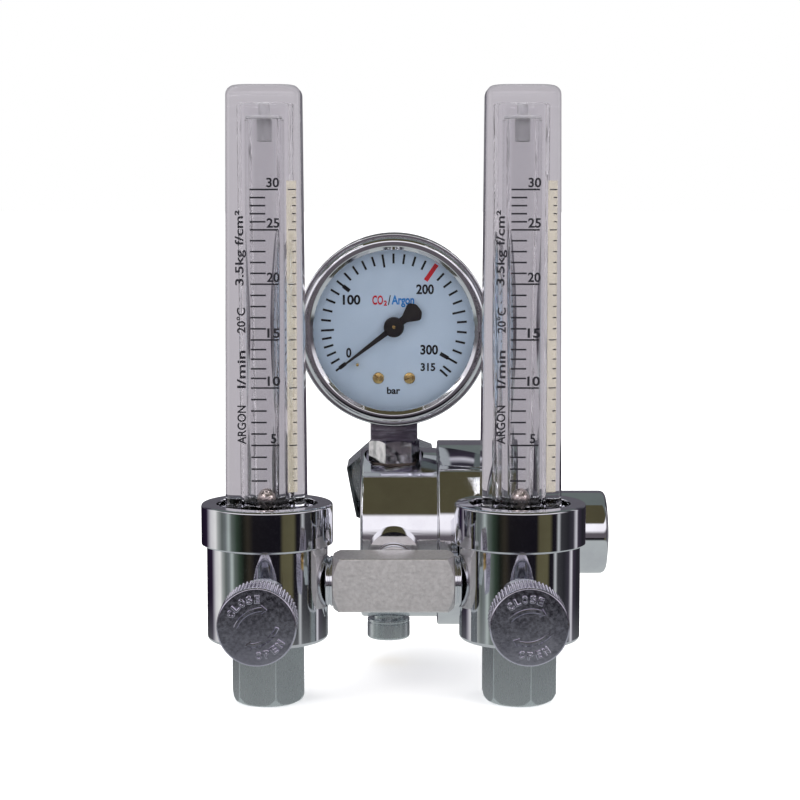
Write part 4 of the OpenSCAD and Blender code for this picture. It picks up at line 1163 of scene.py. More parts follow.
    def window(self) -> None:
        """Builds the flat window and the gasket behind it."""
        low, high = box_mm("gauge_window")
        r = (high.x - low.x) / 2
        pane = turned([(0, low.y), (r, low.y, 0.2), (r, high.y, 0.2), (0, high.y)], Axis.Y,
                      segments=FINE_SEGMENTS)
        self.fitter.fit("flat_pane", self.at_centre(pane), WINDOW_CLEAR, Slot.GAUGE_GLASS, "root",
                        "gauge_window")
        low, high = box_mm("window_gasket")
        r = (high.x - low.x) / 2
        ring = turned([(r - 1.9, low.y, 0.3), (r, low.y, 0.3), (r, high.y, 0.3), (r - 1.9, high.y, 0.3)],
                      Axis.Y, ring=True)
        self.fitter.fit("pane_gasket", self.at_centre(ring), RUBBER, Slot.RUBBER, "root", "window_gasket")

    def dial(self) -> None:
        """Builds the enamelled dial plate with its holes and stop pin."""
        low, high = box_mm("gauge_dial")
        r = (high.x - low.x) / 2
        y = self.dial_y
        plate = self.at_centre(turned([(0, y), (r, y, 0.15), (r, y + 0.6), (0, y + 0.6)], Axis.Y,
                                      segments=FINE_SEGMENTS))
        screw = box_mm("dial_screws")
        tools = [moved(rod(Axis.Y, y - 1, y + 1, 1.8, 48), 0.0, 0.0, self.hub.z)]
        for x in (screw[0].x + self.screw_r, screw[1].x - self.screw_r):
            tools.append(moved(rod(Axis.Y, y - 1, y + 1, 1.0, 32), x, 0.0, middle("dial_screws").z))
        self.fitter.fit("dial_plate", cut(plate, *tools), DIAL_ENAMEL, Slot.DIAL, "root", "gauge_dial")
        pin = turned([(0, low.y), (0.5, low.y, 0.3), (0.5, y + 0.05), (0, y + 0.05)], Axis.Y, segments=32)
        angle = math.radians(self.stop_angle)
        pin = moved(pin, self.stop_r * math.cos(angle), 0.0, self.hub.z + self.stop_r * math.sin(angle))
        self.fitter.fit("stop_pin", pin, BRASS, Slot.BRASS, "root", "gauge_dial")

    def tick(self, inner: float, outer: float, width: float) -> bpy.types.Mesh:
        """A thin printed bar pointing along +X from the hub."""
        half = width / 2
        return prism([(-half, inner), (half, inner), (half, outer), (-half, outer)], Axis.Y, -self.ink, 0.0)

    def fan(self, mesh: bpy.types.Mesh, finish: Finish, count: int, start: float,
            end: float) -> bpy.types.Mesh:
        """Repeats a tick between two angles, the end left out.

        Args:
            mesh: The tick.
            finish: Its ink.
            count: Number of ticks.
            start: First angle, in degrees.
            end: Angle where the next tick would stand.

        Returns:
            The ticks about the hub.
        """
        step = math.radians((end - start) / count)
        return self.fitter.repeater.apply(mesh, finish, count, turn=(0.0, -step, 0.0),
                                          first=(0.0, -math.radians(start), 0.0))

    def print_dial(self) -> None:
        """Builds the printed scale, numbers, unit and gas names."""
        place = (0.0, self.dial_y + 0.01, self.hub.z)
        short = self.tick_out - self.tick_short
        long = self.tick_out - self.tick_long
        minor = self.tick(short, self.tick_out, self.tick_wide)
        major = self.tick(long, self.tick_out, self.tick_wide)
        ticks = []
        for (bar, start), (_, end) in zip(self.bar_angles, self.bar_angles[1:]):
            step = (end - start) / 5
            ticks.append(self.fan(minor, INK_BLACK, 4, start + step, end))
            if bar != 200:
                ticks.append(self.fan(major, INK_BLACK, 1, start, end))
        for angle, inner, outer in self.blocks:
            ticks.append(self.fan(self.tick(inner, outer, 1.3), INK_BLACK, 1, angle, angle))
        ticks.append(self.fan(major, INK_BLACK, 1, self.bar_angles[-1][1], 0))
        for angle in self.last_angles:
            ticks.append(self.fan(minor, INK_BLACK, 1, angle, angle))
        scale = moved(merged(*ticks), *place)
        self.fitter.fit("dial_scale", scale, INK_BLACK, Slot.DIAL, "root", "gauge_dial")
        words = [moved(lettering(text, size, self.ink, length, self.stroke * size), x, 0.0, z)
                 for text, x, z, size, length in self.numbers]
        slash = moved(lettering("/", 3.2, self.ink, 0.95, 0.10), -1.5, 0.0, 8.9)
        digits = moved(merged(*words, slash), *place)
        self.fitter.fit("dial_numbers", digits, INK_BLACK, Slot.DIAL, "root", "gauge_dial")
        warning = self.fan(self.tick(18.7, 25.2, 1.5), INK_RED, 1, self.bar_angles[4][1], 0)
        red = [moved(lettering("CO", 3.0, self.ink, 3.6, 0.13), -5.4, 0.0, 8.9),
               moved(lettering("2", 1.7, self.ink, 1.15, 0.09), -2.85, 0.0, 7.9), warning]
        red_print = moved(merged(*red), *place)
        self.fitter.fit("dial_red_print", red_print, INK_RED, Slot.DIAL, "root", "gauge_dial")
        blue = moved(lettering("Argon", 3.0, self.ink, 7.6, 0.13), 3.0, 0.0, 8.5)
        self.fitter.fit("dial_blue_print", moved(blue, *place), INK_BLUE, Slot.DIAL, "root", "gauge_dial")

    def pointer(self) -> None:
        """Builds the tapered pointer with its fan-shaped tail and domed hub."""
        y = box_mm("gauge_pointer")[0].y
        low, front = y + 1.4, y + 0.8
        reach = self.pointer_reach
        tip = prism([(-0.95, 2.0), (-0.32, reach - 0.6), (0.0, reach), (0.32, reach - 0.6), (0.95, 2.0)],
                    Axis.Y, front, low)
        fan = softened([(-1.3, -2.0), (-1.3, -4.4, 1.5), (-3.6, -8.6, 1.2), (-1.6, -10.6, 1.8),
                        (1.6, -10.6, 1.8), (3.6, -8.6, 1.2), (1.3, -4.4, 1.5), (1.3, -2.0)])
        tail = prism(fan, Axis.Y, front, low)
        hub = turned([(0, y + 0.2), (2.9, y + 0.2, 0.35), (3.4, y + 0.9, 0.2), (3.4, low, 0.1), (0, low)],
                     Axis.Y)
        arrow = merged(tip, tail)
        arrow.transform(Matrix.Rotation(-math.radians(self.bar_angles[0][1]), 4, "Y"))
        self.fitter.fit("black_pointer", moved(merged(arrow, hub), 0.0, 0.0, self.hub.z), POINTER_BLACK,
                        Slot.POINTER, "pointer", "gauge_pointer")
        pin = turned([(0, y + 0.12), (0.55, y + 0.14, 0.15), (0.55, y + 0.6), (0, y + 0.6)], Axis.Y,
                     segments=32)
        self.fitter.fit("pointer_pin", moved(pin, 0.0, 0.0, self.hub.z), BRASS, Slot.POINTER, "pointer",
                        "gauge_pointer")

    def screws(self) -> None:
        """Builds the two slotted brass screws of the dial."""
        low, high = box_mm("dial_screws")
        r = self.screw_r
        heads = []
        for x, turn in ((low.x + r, 35), (high.x - r, -20)):
            head = turned([(0, low.y), (r, low.y + 0.15, 0.5), (r, low.y + 0.88, 0.1), (0.95, low.y + 0.88),
                           (0.95, high.y, 0.2), (0, high.y)], Axis.Y, segments=48)
            slot = prism([(-0.22, -r - 1), (0.22, -r - 1), (0.22, r + 1), (-0.22, r + 1)], Axis.Y, low.y - 1,
                         low.y + 0.35)
            slot.transform(Matrix.Rotation(math.radians(turn), 4, "Y"))
            heads.append(moved(cut(head, slot), x, 0.0, (low.z + high.z) / 2))
        self.fitter.fit("dial_screw_pair", merged(*heads), BRASS, Slot.BRASS, "root", "dial_screws")


# ---------------------------------------------------------------- cross bar


@dataclass
class CrossBar:
    """The square bar between the flowmeters, with its nipples and connector."""

    fitter: Fitter
    collar_r: float = 8.0
    nipple_r: float = 5.0

    def build(self) -> None:
        """Builds the bar, both side nipples and the connector behind it."""
        low, high = box_mm("manifold_block")
        centre = middle("manifold_block")
        half = (high.y - low.y) / 2
        across = prism(rounded_polygon(4, 2 * half, 0.45, 45), Axis.X, low.x, high.x)
        reach = half * math.sqrt(2) + 0.3
        cone = turned([(0, low.x), (self.collar_r + 0.6, low.x), (reach, low.x + 2.4), (reach, high.x - 2.4),
                       (self.collar_r + 0.6, high.x), (0, high.x)], Axis.X)
        bar = crossed(across, cone)
        bar = moved(bar, y=centre.y, z=centre.z)
        connector = box_mm("outlet_connector")
        port_z = middle("outlet_connector").z
        through = moved(rod(Axis.X, low.x - 1, high.x + 1, self.nipple_r + 0.05), y=centre.y, z=centre.z)
        bar = cut(bar, through, moved(rod(Axis.Y, connector[0].y - 0.5, high.y + 1, 4.55), z=port_z))
        self.fitter.fit("cross_bar", bar, SATIN_PLATE, Slot.SATIN_PLATE, "root", "manifold_block")
        tip = box_mm("side_nipples")[1].x
        inner, outer = high.x + 0.03, high.x + 2.37
        groove = (inner + outer) / 2
        outline = [(1.8, high.x - 8), (self.nipple_r, high.x - 8, 0.4), (self.nipple_r, inner),
                   (self.collar_r, inner, 0.35), (self.collar_r, groove - 0.35, 0.1),
                   (self.collar_r - 0.4, groove - 0.2, 0.1), (self.collar_r - 0.4, groove + 0.2, 0.1),
                   (self.collar_r, groove + 0.35, 0.1), (self.collar_r, outer, 0.35),
                   (self.nipple_r, outer), (self.nipple_r, tip, 0.4), (1.8, tip)]
        parts = []
        for side in Side:
            part = turned([(p[0], side.sign * p[1], *p[2:]) for p in outline], Axis.X, ring=True)
            parts.append(moved(part, y=centre.y, z=centre.z))
        self.fitter.fit("side_nipple_pair", merged(*parts), CHROME, Slot.HEX_PLATE, "root", "side_nipples")
        back = high.y + 0.05
        collar_end = box_mm("seal_rings")[0].y - 0.02
        outline = [(2.2, connector[0].y), (4.5, connector[0].y, 0.4), (4.5, back), (7.5, back, 0.3),
                   (7.5, collar_end, 0.3), (4.5, collar_end), (4.5, connector[1].y, 0.4),
                   (2.2, connector[1].y)]
        tube = moved(turned(outline, Axis.Y, ring=True), z=port_z)
        self.fitter.fit("bar_connector", tube, CHROME, Slot.HEX_PLATE, "root", "outlet_connector")


# ---------------------------------------------------------------- flowmeters


def square_radius(half: float, corner: float) -> Callable[[float], float]:
    """Radius by angle of a square with rounded corners.

    Args:
        half: Half of the square's width.
        corner: Radius of its corners.

    Returns:
        A function from an angle to the square's radius.
    """

    def radius(angle: float) -> float:
        """Distance from the centre to the square's edge."""
        fold = abs((angle + math.pi / 4) % (math.pi / 2) - math.pi / 4)
        flat = half / math.cos(fold)
        inner = half - corner
        if flat * math.sin(fold) <= inner:
            return flat
        along = inner * (math.cos(fold) + math.sin(fold))
        return along + math.sqrt(max(0.0, corner ** 2 - 2 * inner ** 2 + along ** 2))

    return radius


@dataclass
class Flowmeter:
    """One flowmeter: body, clamp ring, clear cover, metering tube, float and printed scale."""

    fitter: Fitter
    side: Side
    majors: tuple[tuple[str, float], ...] = (("30", 98.28), ("25", 86.0), ("20", 69.4), ("15", 52.28),
                                             ("10", 37.45), ("5", 19.63))
    legend: tuple[tuple[str, float, float, float], ...] = (
        ("ARGON", 2.7, 20.0, 32.0), ("l/min", 2.7, 37.4, 49.0), ("20°C", 2.6, 54.4, 62.2),
        ("3.5kg f/cm²", 2.6, 69.0, 92.0))
    lowest: float = 8.57
    ink: float = 0.05
    corner: float = 5.0
    strip_in: float = 7.3
    strip_out: float = 10.3
    x: float = 0.0
    y: float = 0.0
    top: float = 0.0

    def build(self) -> None:
        """Builds every piece of this flowmeter."""
        ball = middle(self.node("float_ball"))
        self.x, self.y = ball.x, ball.y
        self.top = box_mm(self.node("clamp_ring"))[1].z
        self.body()
        self.ring()
        self.cover()
        self.tube()
        self.float_parts()
        self.outlet()
        self.scale()
        self.strip()

    def node(self, part: str) -> str:
        """The full name of one of this flowmeter's nodes."""
        return f"{self.side.value}_{part}"

    def put(self, part: str, mesh: bpy.types.Mesh, finish: Finish, slot: Slot, body: str,
            *parts: str) -> None:
        """Fits a piece whose mesh is drawn about this flowmeter's own axis and ring top."""
        mesh = moved(mesh, self.x, self.y, self.top)
        self.fitter.fit(self.node(part), mesh, finish, slot, body, *[self.node(p) for p in parts])

    def body(self) -> None:
        """Builds the chromed body with its ports, flats and chamber."""
        low, high = box_mm(self.node("meter_body"))
        r = (high.x - low.x) / 2
        bottom, top = low.z - self.top, high.z - self.top
        ring_low = box_mm(self.node("clamp_ring"))[0].z - self.top
        spigot = r - 1.1
        outline = [(0, bottom), (r, bottom, 1.2), (r, ring_low - 0.1, 0.3), (spigot, ring_low - 0.1),
                   (spigot, top, 0.2), (12.0, top, 0.3), (12.0, -16.0, 0.4), (7.1, -16.0, 0.4), (7.1, -20.1),
                   (0, -20.1)]
        shell = turned(outline, Axis.Z, segments=FINE_SEGMENTS)
        bar_z = middle("manifold_block").z - self.top
        valve_z = middle(self.node("needle")).z - self.top
        toward = -self.side.sign
        flat = sorted((toward * (r - 0.6), toward * (r + 4)))
        port = sorted((toward * 9, toward * 30))
        gland = box_mm(self.node("gland"))
        shell = cut(
            shell,
            moved(rod(Axis.X, *flat, 8.4), z=bar_z),
            moved(rod(Axis.X, *port, 5.05), z=bar_z),
            moved(rod(Axis.Y, -r - 3, -r + 0.9, 8.6), z=valve_z),
            moved(rod(Axis.Y, -r - 3, gland[1].y - self.y, 6.05), z=valve_z),
            rod(Axis.Z, bottom - 1, bottom + 7.5, 8.05),
        )
        self.put("body_cup", shell, CHROME, Slot.CHROME, "root", "meter_body")

    def ring(self) -> None:
        """Builds the clamp ring over the cover's flange."""
        low, high = box_mm(self.node("clamp_ring"))
        r = (high.x - low.x) / 2
        deep = low.z - high.z
        thread = r - 2.6
        bore, seat = 15.91, -3.0
        outline = [(bore, 0, 0.5), (r, 0, 0.9), (r, deep, 0.5), (thread, deep, 0.2), (thread, seat),
                   (bore, seat)]
        ring = turned(outline, Axis.Z, ring=True, segments=FINE_SEGMENTS)
        self.put("ring_cap", ring, RING_CHROME, Slot.CHROME, "root", "clamp_ring")

    def half_width(self, z: float) -> float:
        """Half the cover's width at a height above the ring's top."""
        return 12.5 - (z + 3.3) / 130.5

    def cover(self) -> None:
        """Builds the clear cover: leaning square sides, round flange and round bore."""
        low, high = box_mm(self.node("cover"))
        foot, top = low.z - self.top, high.z - self.top
        flange = (high.x - low.x) / 2
        corner, edge, bore = self.corner, 3.0, 8.2
        rows: list[Row] = [(0.0, top)]
        for a in range(85, -1, -17):
            angle = math.radians(a)
            half = self.half_width(top - edge) - edge * (1 - math.cos(angle))
            rows.append((square_radius(half, corner), top - edge + edge * math.sin(angle)))
        for k in range(1, 25):
            z = top - edge - k * (top - edge + 2.2) / 24
            rows.append((square_radius(self.half_width(z), corner), z))
        rows += [(square_radius(self.half_width(-3.0) + 0.4, corner), -2.75),
                 (square_radius(self.half_width(-3.0) + 0.8, corner), -3.05)]
        rows += softened([(16.0, -3.05), (flange, -3.05, 0.3), (flange, foot, 0.3), (bore, foot, 0.4),
                          (bore, top - 5.4, 0.8), (0.0, top - 5.4)])
        cover = skin(rows, Axis.Z, segments=224)
        self.put("clear_cover", cover, COVER_CLEAR, Slot.CLEAR_COVER, "root", "cover")

    def tube(self) -> None:
        """Builds the metering tube with its slowly widening bore."""
        low, high = box_mm(self.node("metering_tube"))
        foot, top = low.z - self.top, high.z - self.top
        outline = [(2.5, foot, 0.3), (7.0, foot, 0.4), (7.0, top, 0.5), (4.6, top, 0.3), (3.55, -1.1, 0.1),
                   (2.5, -1.1)]
        self.put("clear_tube", turned(outline, Axis.Z, ring=True, segments=96), TUBE_CLEAR, Slot.CLEAR_TUBE,
                 "root", "metering_tube")

    def float_parts(self) -> None:
        """Builds the stop at the tube's top and the steel ball."""
        low, high = box_mm(self.node("float_stop"))
        foot, end = low.z - self.top, high.z - self.top
        seat = box_mm(self.node("metering_tube"))[1].z - self.top
        outline = [(0, foot), (2.7, foot, 0.5), (2.7, seat + 0.03), (6.6, seat + 0.03, 0.2),
                   (6.6, seat + 1.0, 0.3), (2.0, seat + 1.0, 0.3), (2.0, end, 0.3), (0, end)]
        stop = turned(outline, Axis.Z, segments=64)
        notch = moved(rod(Axis.Z, seat - 1, seat + 2, 0.7, 16), x=3.8)
        notches = self.fitter.repeater.apply(notch, SOFT_WHITE, 6, turn=(0.0, 0.0, math.pi / 3))
        self.put("tube_stop", cut(stop, notches), SOFT_WHITE, Slot.SOFT_SEAL, "root", "float_stop")
        low, high = box_mm(self.node("float_ball"))
        r = (high.z - low.z) / 2
        middle_z = (high.z + low.z) / 2 - self.top
        rows: list[Row] = [(r * math.sin(math.pi * k / 48), middle_z - r * math.cos(math.pi * k / 48))
                           for k in range(49)]
        rows[0], rows[-1] = (0.0, middle_z - r), (0.0, middle_z + r)
        self.put("steel_ball", skin(rows, Axis.Z, segments=96), BALL_STEEL, Slot.BALL, self.node("ball"),
                 "float_ball")

    def outlet(self) -> None:
        """Builds the outlet hexagon with its threaded bore."""
        low, high = box_mm(self.node("outlet_hex"))
        foot = low.z - self.top
        shoulder = box_mm(self.node("meter_body"))[0].z - self.top - 0.05
        grip = high.z - self.top
        across = 21.0
        corner = across / math.sqrt(3)
        hexagon = prism(rounded_polygon(6, across, 0.5, -15), Axis.Z, foot, shoulder)
        cone = turned([(0, foot), (corner - 2.6, foot, 0.8), (corner - 1.0, foot + 0.9, 1.0),
                       (corner + 0.3, foot + 3.6), (corner + 0.3, shoulder - 0.8), (corner - 1.2, shoulder),
                       (0, shoulder)], Axis.Z)
        stem = turned([(0, shoulder - 1), (8.0, shoulder - 1), (8.0, grip, 0.5), (0, grip)], Axis.Z)
        pitch, crest, root = 1.337, 7.4, 7.95
        steps = int(11.0 / (pitch / 8))

        def thread(along: float) -> Callable[[float], float]:
            """Radius of the outlet's thread by angle at one place."""
            return lambda angle: root - (root - crest) * min(1.0, max(
                0.0, 2.2 * (1 - abs(2 * ((along / pitch - angle / math.tau) % 1.0) - 1)) - 0.6))

        rows: list[Row] = [(0.0, foot - 0.5), (root + 0.9, foot - 0.5), (root + 0.1, foot + 0.4)]
        rows += [(thread(foot + 0.6 + k * pitch / 8), foot + 0.6 + k * pitch / 8) for k in range(steps)]
        rows += [(crest, foot + 12), (4.0, foot + 12), (4.0, grip + 1), (0.0, grip + 1)]
        piece = cut(combined(crossed(hexagon, cone), stem, "UNION"), skin(rows, Axis.Z, segments=96))
        self.put("outlet_nut", piece, HEX_PLATE, Slot.HEX_PLATE, "root", "outlet_hex")

    def lean(self, mesh: bpy.types.Mesh) -> bpy.types.Mesh:
        """Lays a print drawn at y = 0 onto the cover's leaning front."""
        for v in mesh.vertices:
            v.co.y -= self.half_width(v.co.z) - 0.01
        return mesh

    def scale(self) -> None:
        """Builds the printed scale, its numbers and its legend on the cover's front."""
        long = prism([(-0.26, -3.9), (0.26, -3.9), (0.26, 4.8), (-0.26, 4.8)], Axis.Y, -self.ink, 0.0)
        short = prism([(-0.26, -3.9), (0.26, -3.9), (0.26, 0.9), (-0.26, 0.9)], Axis.Y, -self.ink, 0.0)
        marks = [moved(self.fitter.repeater.apply(long, INK_BLACK, 1), z=z) for _, z in self.majors]
        marks += self.minor_marks(short)
        numbers = [moved(lettering(text, 2.9, self.ink, 1.7 if len(text) < 2 else 3.9, 0.10),
                         3.2 if len(text) > 1 else 3.0, 0.0, z + 2.1) for text, z in self.majors]
        legend = [self.upright(*line) for line in self.legend]
        self.put("scale_print", self.lean(merged(*marks, *numbers, *legend)), INK_BLACK, Slot.CLEAR_COVER,
                 "root", "cover")

    def minor_marks(self, mark: bpy.types.Mesh) -> list[bpy.types.Mesh]:
        """Repeats a mark between the numbered heights, evenly in each interval."""
        heights = [z for _, z in self.majors]
        marks = []
        for above, below in zip(heights, heights[1:]):
            step = (above - below) / 5
            row = self.fitter.repeater.apply(mark, INK_BLACK, 4, shift=(0.0, 0.0, -step))
            marks.append(moved(row, z=above - step))
        step = (heights[-1] - self.lowest) / 3
        row = self.fitter.repeater.apply(mark, INK_BLACK, 3, shift=(0.0, 0.0, -step))
        return marks + [moved(row, z=heights[-1] - step)]

    def upright(self, text: str, size: float, low: float, high: float) -> bpy.types.Mesh:
        """A word that reads upwards beside the scale, between two heights."""
        word = lettering(text, size, self.ink, high - low, 0.07)
        word.transform(Matrix.Rotation(-math.pi / 2, 4, "Y"))
        return moved(word, -6.8, 0.0, (low + high) / 2)

    def round_the_corner(self, x: float, z: float) -> float:
        """How far the cover's front stands in front of its axis at a width and height."""
        half = self.half_width(z)
        inner = half - self.corner
        if x <= inner:
            return half
        return inner + math.sqrt(max(0.0, self.corner ** 2 - (x - inner) ** 2))

    def strip(self) -> None:
        """Builds the narrow second scale beside the cover's front right corner."""
        low, high, columns, count = 5.0, 101.0, 7, 33
        bm = bmesh.new()
        sheets = []
        for depth in (0.0, self.ink):
            sheet = []
            for i in range(columns):
                x = self.strip_in + (self.strip_out - self.strip_in) * i / (columns - 1)
                sheet.append([bm.verts.new((x, -self.round_the_corner(x, z) - depth + 0.01, z))
                              for z in (low + (high - low) * k / (count - 1) for k in range(count))])
            sheets.append(sheet)
        back, front = sheets
        rim = [(i, 0) for i in range(columns)] + [(columns - 1, k) for k in range(1, count)]
        rim += [(i, count - 1) for i in range(columns - 2, -1, -1)]
        rim += [(0, k) for k in range(count - 2, 0, -1)]
        for sheet in sheets:
            for i in range(columns - 1):
                for k in range(count - 1):
                    bm.faces.new((sheet[i][k], sheet[i + 1][k], sheet[i + 1][k + 1], sheet[i][k + 1]))
        for (a, b), (c, d) in zip(rim, rim[1:] + rim[:1]):
            bm.faces.new((back[a][b], back[c][d], front[c][d], front[a][b]))
        self.put("side_strip", mesh_of(bm), STRIP_CREAM, Slot.CLEAR_COVER, "root", "cover")
        out = self.strip_out - 0.15
        marks = []
        for reach in (1.1, 2.3):
            mark = prism([(-0.16, out - reach), (0.16, out - reach), (0.16, out - reach / 2), (0.16, out),
                          (-0.16, out), (-0.16, out - reach / 2)], Axis.Y, -2 * self.ink, 0.0)
            if reach < 2:
                marks += self.minor_marks(mark)
            else:
                marks += [moved(self.fitter.repeater.apply(mark, INK_BLACK, 1), z=z) for _, z in self.majors]
        mesh = merged(*marks)
        for v in mesh.vertices:
            v.co.y -= self.round_the_corner(v.co.x, v.co.z)
        self.put("side_marks", mesh, INK_BLACK, Slot.CLEAR_COVER, "root", "cover")


@dataclass
class Valve:
    """One needle valve: gland, spindle and knurled knob, all about Y."""

    fitter: Fitter
    side: Side
    ridges: int = 60
    word_r: float = 8.4
    arrow_r: float = 4.9
    arrow_bend: float = 8.6
    arrow_half: float = 38.0
    relief: float = 0.55
    knob_r: float = 11.8
    gland_across: float = 14.0
    stem_r: float = 3.0
    thread_r: float = 4.0
    thread_start: float = 9.5
    turn: dict[Side, float] = field(default_factory=lambda: {Side.LEFT: 30.0, Side.RIGHT: 10.0})

    def node(self, part: str) -> str:
        """The full name of one of this valve's nodes."""
        return f"{self.side.value}_{part}"

    def build(self) -> None:
        """Builds the gland, the spindle and the knob."""
        self.x, self.z = middle(self.node("needle")).x, middle(self.node("needle")).z
        self.gland()
        self.spindle()
        self.knob()

    def gland(self) -> None:
        """Builds the plated gland with its hexagon and neck."""
        low, high = box_mm(self.node("gland"))
        face = low.y + 10.6
        across = self.gland_across
        hexagon = prism(rounded_polygon(6, across, 0.3, 30), Axis.Y, low.y + 3, face + 1.2)
        corner = across / math.sqrt(3)
        cone = turned([(0, low.y + 3), (corner - 1.2, low.y + 3), (corner + 0.2, low.y + 3.9),
                       (corner + 0.2, face + 1.2), (0, face + 1.2)], Axis.Y)
        neck = turned([(0, low.y), (5.2, low.y, 0.6), (5.2, low.y + 3.2), (0, low.y + 3.2)], Axis.Y)
        shank = turned([(0, face), (6.0, face), (6.0, high.y, 0.4), (0, high.y)], Axis.Y)
        piece = combined(combined(crossed(hexagon, cone), neck, "UNION"), shank, "UNION")
        piece = cut(piece, rod(Axis.Y, low.y - 1, high.y + 1, self.stem_r + 0.08),
                    rod(Axis.Y, low.y + 6.6, high.y + 1, self.thread_r + 0.08))
        self.fitter.fit(self.node("gland_nut"), moved(piece, self.x, 0.0, self.z), HEX_PLATE, Slot.BRASS,
                        "root", self.node("gland"))

    def spindle(self) -> None:
        """Builds the threaded spindle with its needle point."""
        low, high = box_mm(self.node("needle"))
        shank = high.y - 3.0 - 1.9
        start = box_mm(self.node("gland"))[0].y + self.thread_start
        stem, thread = self.stem_r, self.thread_r
        outline = [(0, low.y), (stem, low.y, 0.4), (stem, start), (thread, start + 0.6, 0.2),
                   (thread, high.y - 6.3, 0.3), (stem, high.y - 5.6), (stem, shank + 0.4),
                   (1.9, high.y - 4.0), (0.5, high.y), (0, high.y)]
        piece = moved(turned(outline, Axis.Y, segments=64), self.x, 0.0, self.z)
        self.fitter.fit(self.node("spindle"), piece, BRASS, Slot.BRASS, self.node("needle"),
                        self.node("needle"))

    def curved(self, word: str, size: float, middle_angle: float, spread: float,
               inward: bool) -> bpy.types.Mesh:
        """Raised letters along an arc on the knob's face.

        Args:
            word: The letters.
            size: Their height.
            middle_angle: Direction of the word's middle, in degrees counted from +X.
            spread: Degrees from letter to letter.
            inward: Whether the letters' tops point towards the hub.

        Returns:
            The letters about the knob's axis, standing on y = 0.
        """
        shapes = []
        for i, letter in enumerate(word):
            offset = (i - (len(word) - 1) / 2) * spread
            angle = middle_angle + (offset if inward else -offset)
            shape = lettering(letter, size, self.relief, 1.8, 0.03, 0.17)
            lean = angle + 90 if inward else angle - 90
            shape.transform(Matrix.Rotation(-math.radians(lean), 4, "Y"))
            shapes.append(moved(shape, self.word_r * math.cos(math.radians(angle)), 0.0,
                                self.word_r * math.sin(math.radians(angle))))
        return merged(*shapes)

    def arrow(self) -> bpy.types.Mesh:
        """A raised curved arrow above the knob's middle, pointing clockwise, with a softened top."""
        half, thick, steps = self.arrow_half, 0.8, 16
        drop = self.arrow_bend - self.arrow_r

        def at(radius: float, angle: float) -> tuple[float, float]:
            """A point of the arrow's arc as (up, across)."""
            turn = math.radians(angle)
            return radius * math.cos(turn) - drop, radius * math.sin(turn)

        layers = []
        for grow, depth in ((0.22, 0.05), (0.22, -self.relief * 0.55), (0.0, -self.relief)):
            wide = thick / 2 + grow
            angles = [-half + (2 * half - 9) * k / steps for k in range(steps + 1)]
            outer = [at(self.arrow_bend + wide, angle) for angle in angles]
            inner = [at(self.arrow_bend - wide, angle) for angle in angles]
            head = [at(self.arrow_bend + wide + 0.75, half - 10), at(self.arrow_bend, half + grow * 6),
                    at(self.arrow_bend - wide - 0.75, half - 10)]
            layers.append([(u, v, depth) for u, v in outer + head + inner[::-1]])
        bm = bmesh.new()
        loops = [[bm.verts.new(Axis.Y.place(u, v, w)) for u, v, w in layer] for layer in layers]
        bm.faces.new(loops[0])
        bm.faces.new(loops[-1])
        for low, high in zip(loops, loops[1:]):
            for k in range(len(low)):
                n = (k + 1) % len(low)
                bm.faces.new((low[k], low[n], high[n], high[k]))
        return mesh_of(bm)

    def knob(self) -> None:
        """Builds the knob: barrel, rim, knurled side and raised marks."""
        low, high = box_mm(self.node("knob"))
        front, back, r = low.y, high.y, self.knob_r
        barrel = r - 0.75
        face = front + self.relief
        bore = self.stem_r + 0.08
        outline = [(0, face), (r - 0.15, face, 0.45), (r, face + 0.9, 0.15), (barrel, face + 1.1, 0.1),
                   (barrel, back - 0.6, 0.2), (barrel - 0.5, back, 0.3), (bore, back, 0.2),
                   (bore, back - 9.5), (0, back - 9.5)]
        body = turned(outline, Axis.Y, segments=FINE_SEGMENTS)
        ridge_low, ridge_high, ridge_r = face + 0.8, back - 0.2, 0.46
        ridge = turned([(0, ridge_low), (ridge_r, ridge_low + 0.1, 0.25), (ridge_r, ridge_high - 0.1, 0.25),
                        (0, ridge_high)], Axis.Y, segments=12)
        ridge = moved(ridge, x=r - ridge_r)
        knurl = self.fitter.repeater.apply(ridge, KNOB_PLATE, self.ridges,
                                           turn=(0.0, math.tau / self.ridges, 0.0))
        below = self.arrow()
        below.transform(Matrix.Rotation(math.pi, 4, "Y"))
        marks = merged(self.curved("CLOSE", 2.2, 90, 16, False), self.curved("OPEN", 2.2, 270, 17, True),
                       self.arrow(), below)
        marks.transform(Matrix.Rotation(-math.radians(self.turn[self.side]), 4, "Y"))
        marks = moved(marks, y=face)
        piece = moved(merged(body, knurl, marks), self.x, 0.0, self.z)
        self.fitter.fit(self.node("knurled_knob"), piece, KNOB_PLATE, Slot.KNOB, self.node("knob"),
                        self.node("knob"))


# ---------------------------------------------------------------- studio


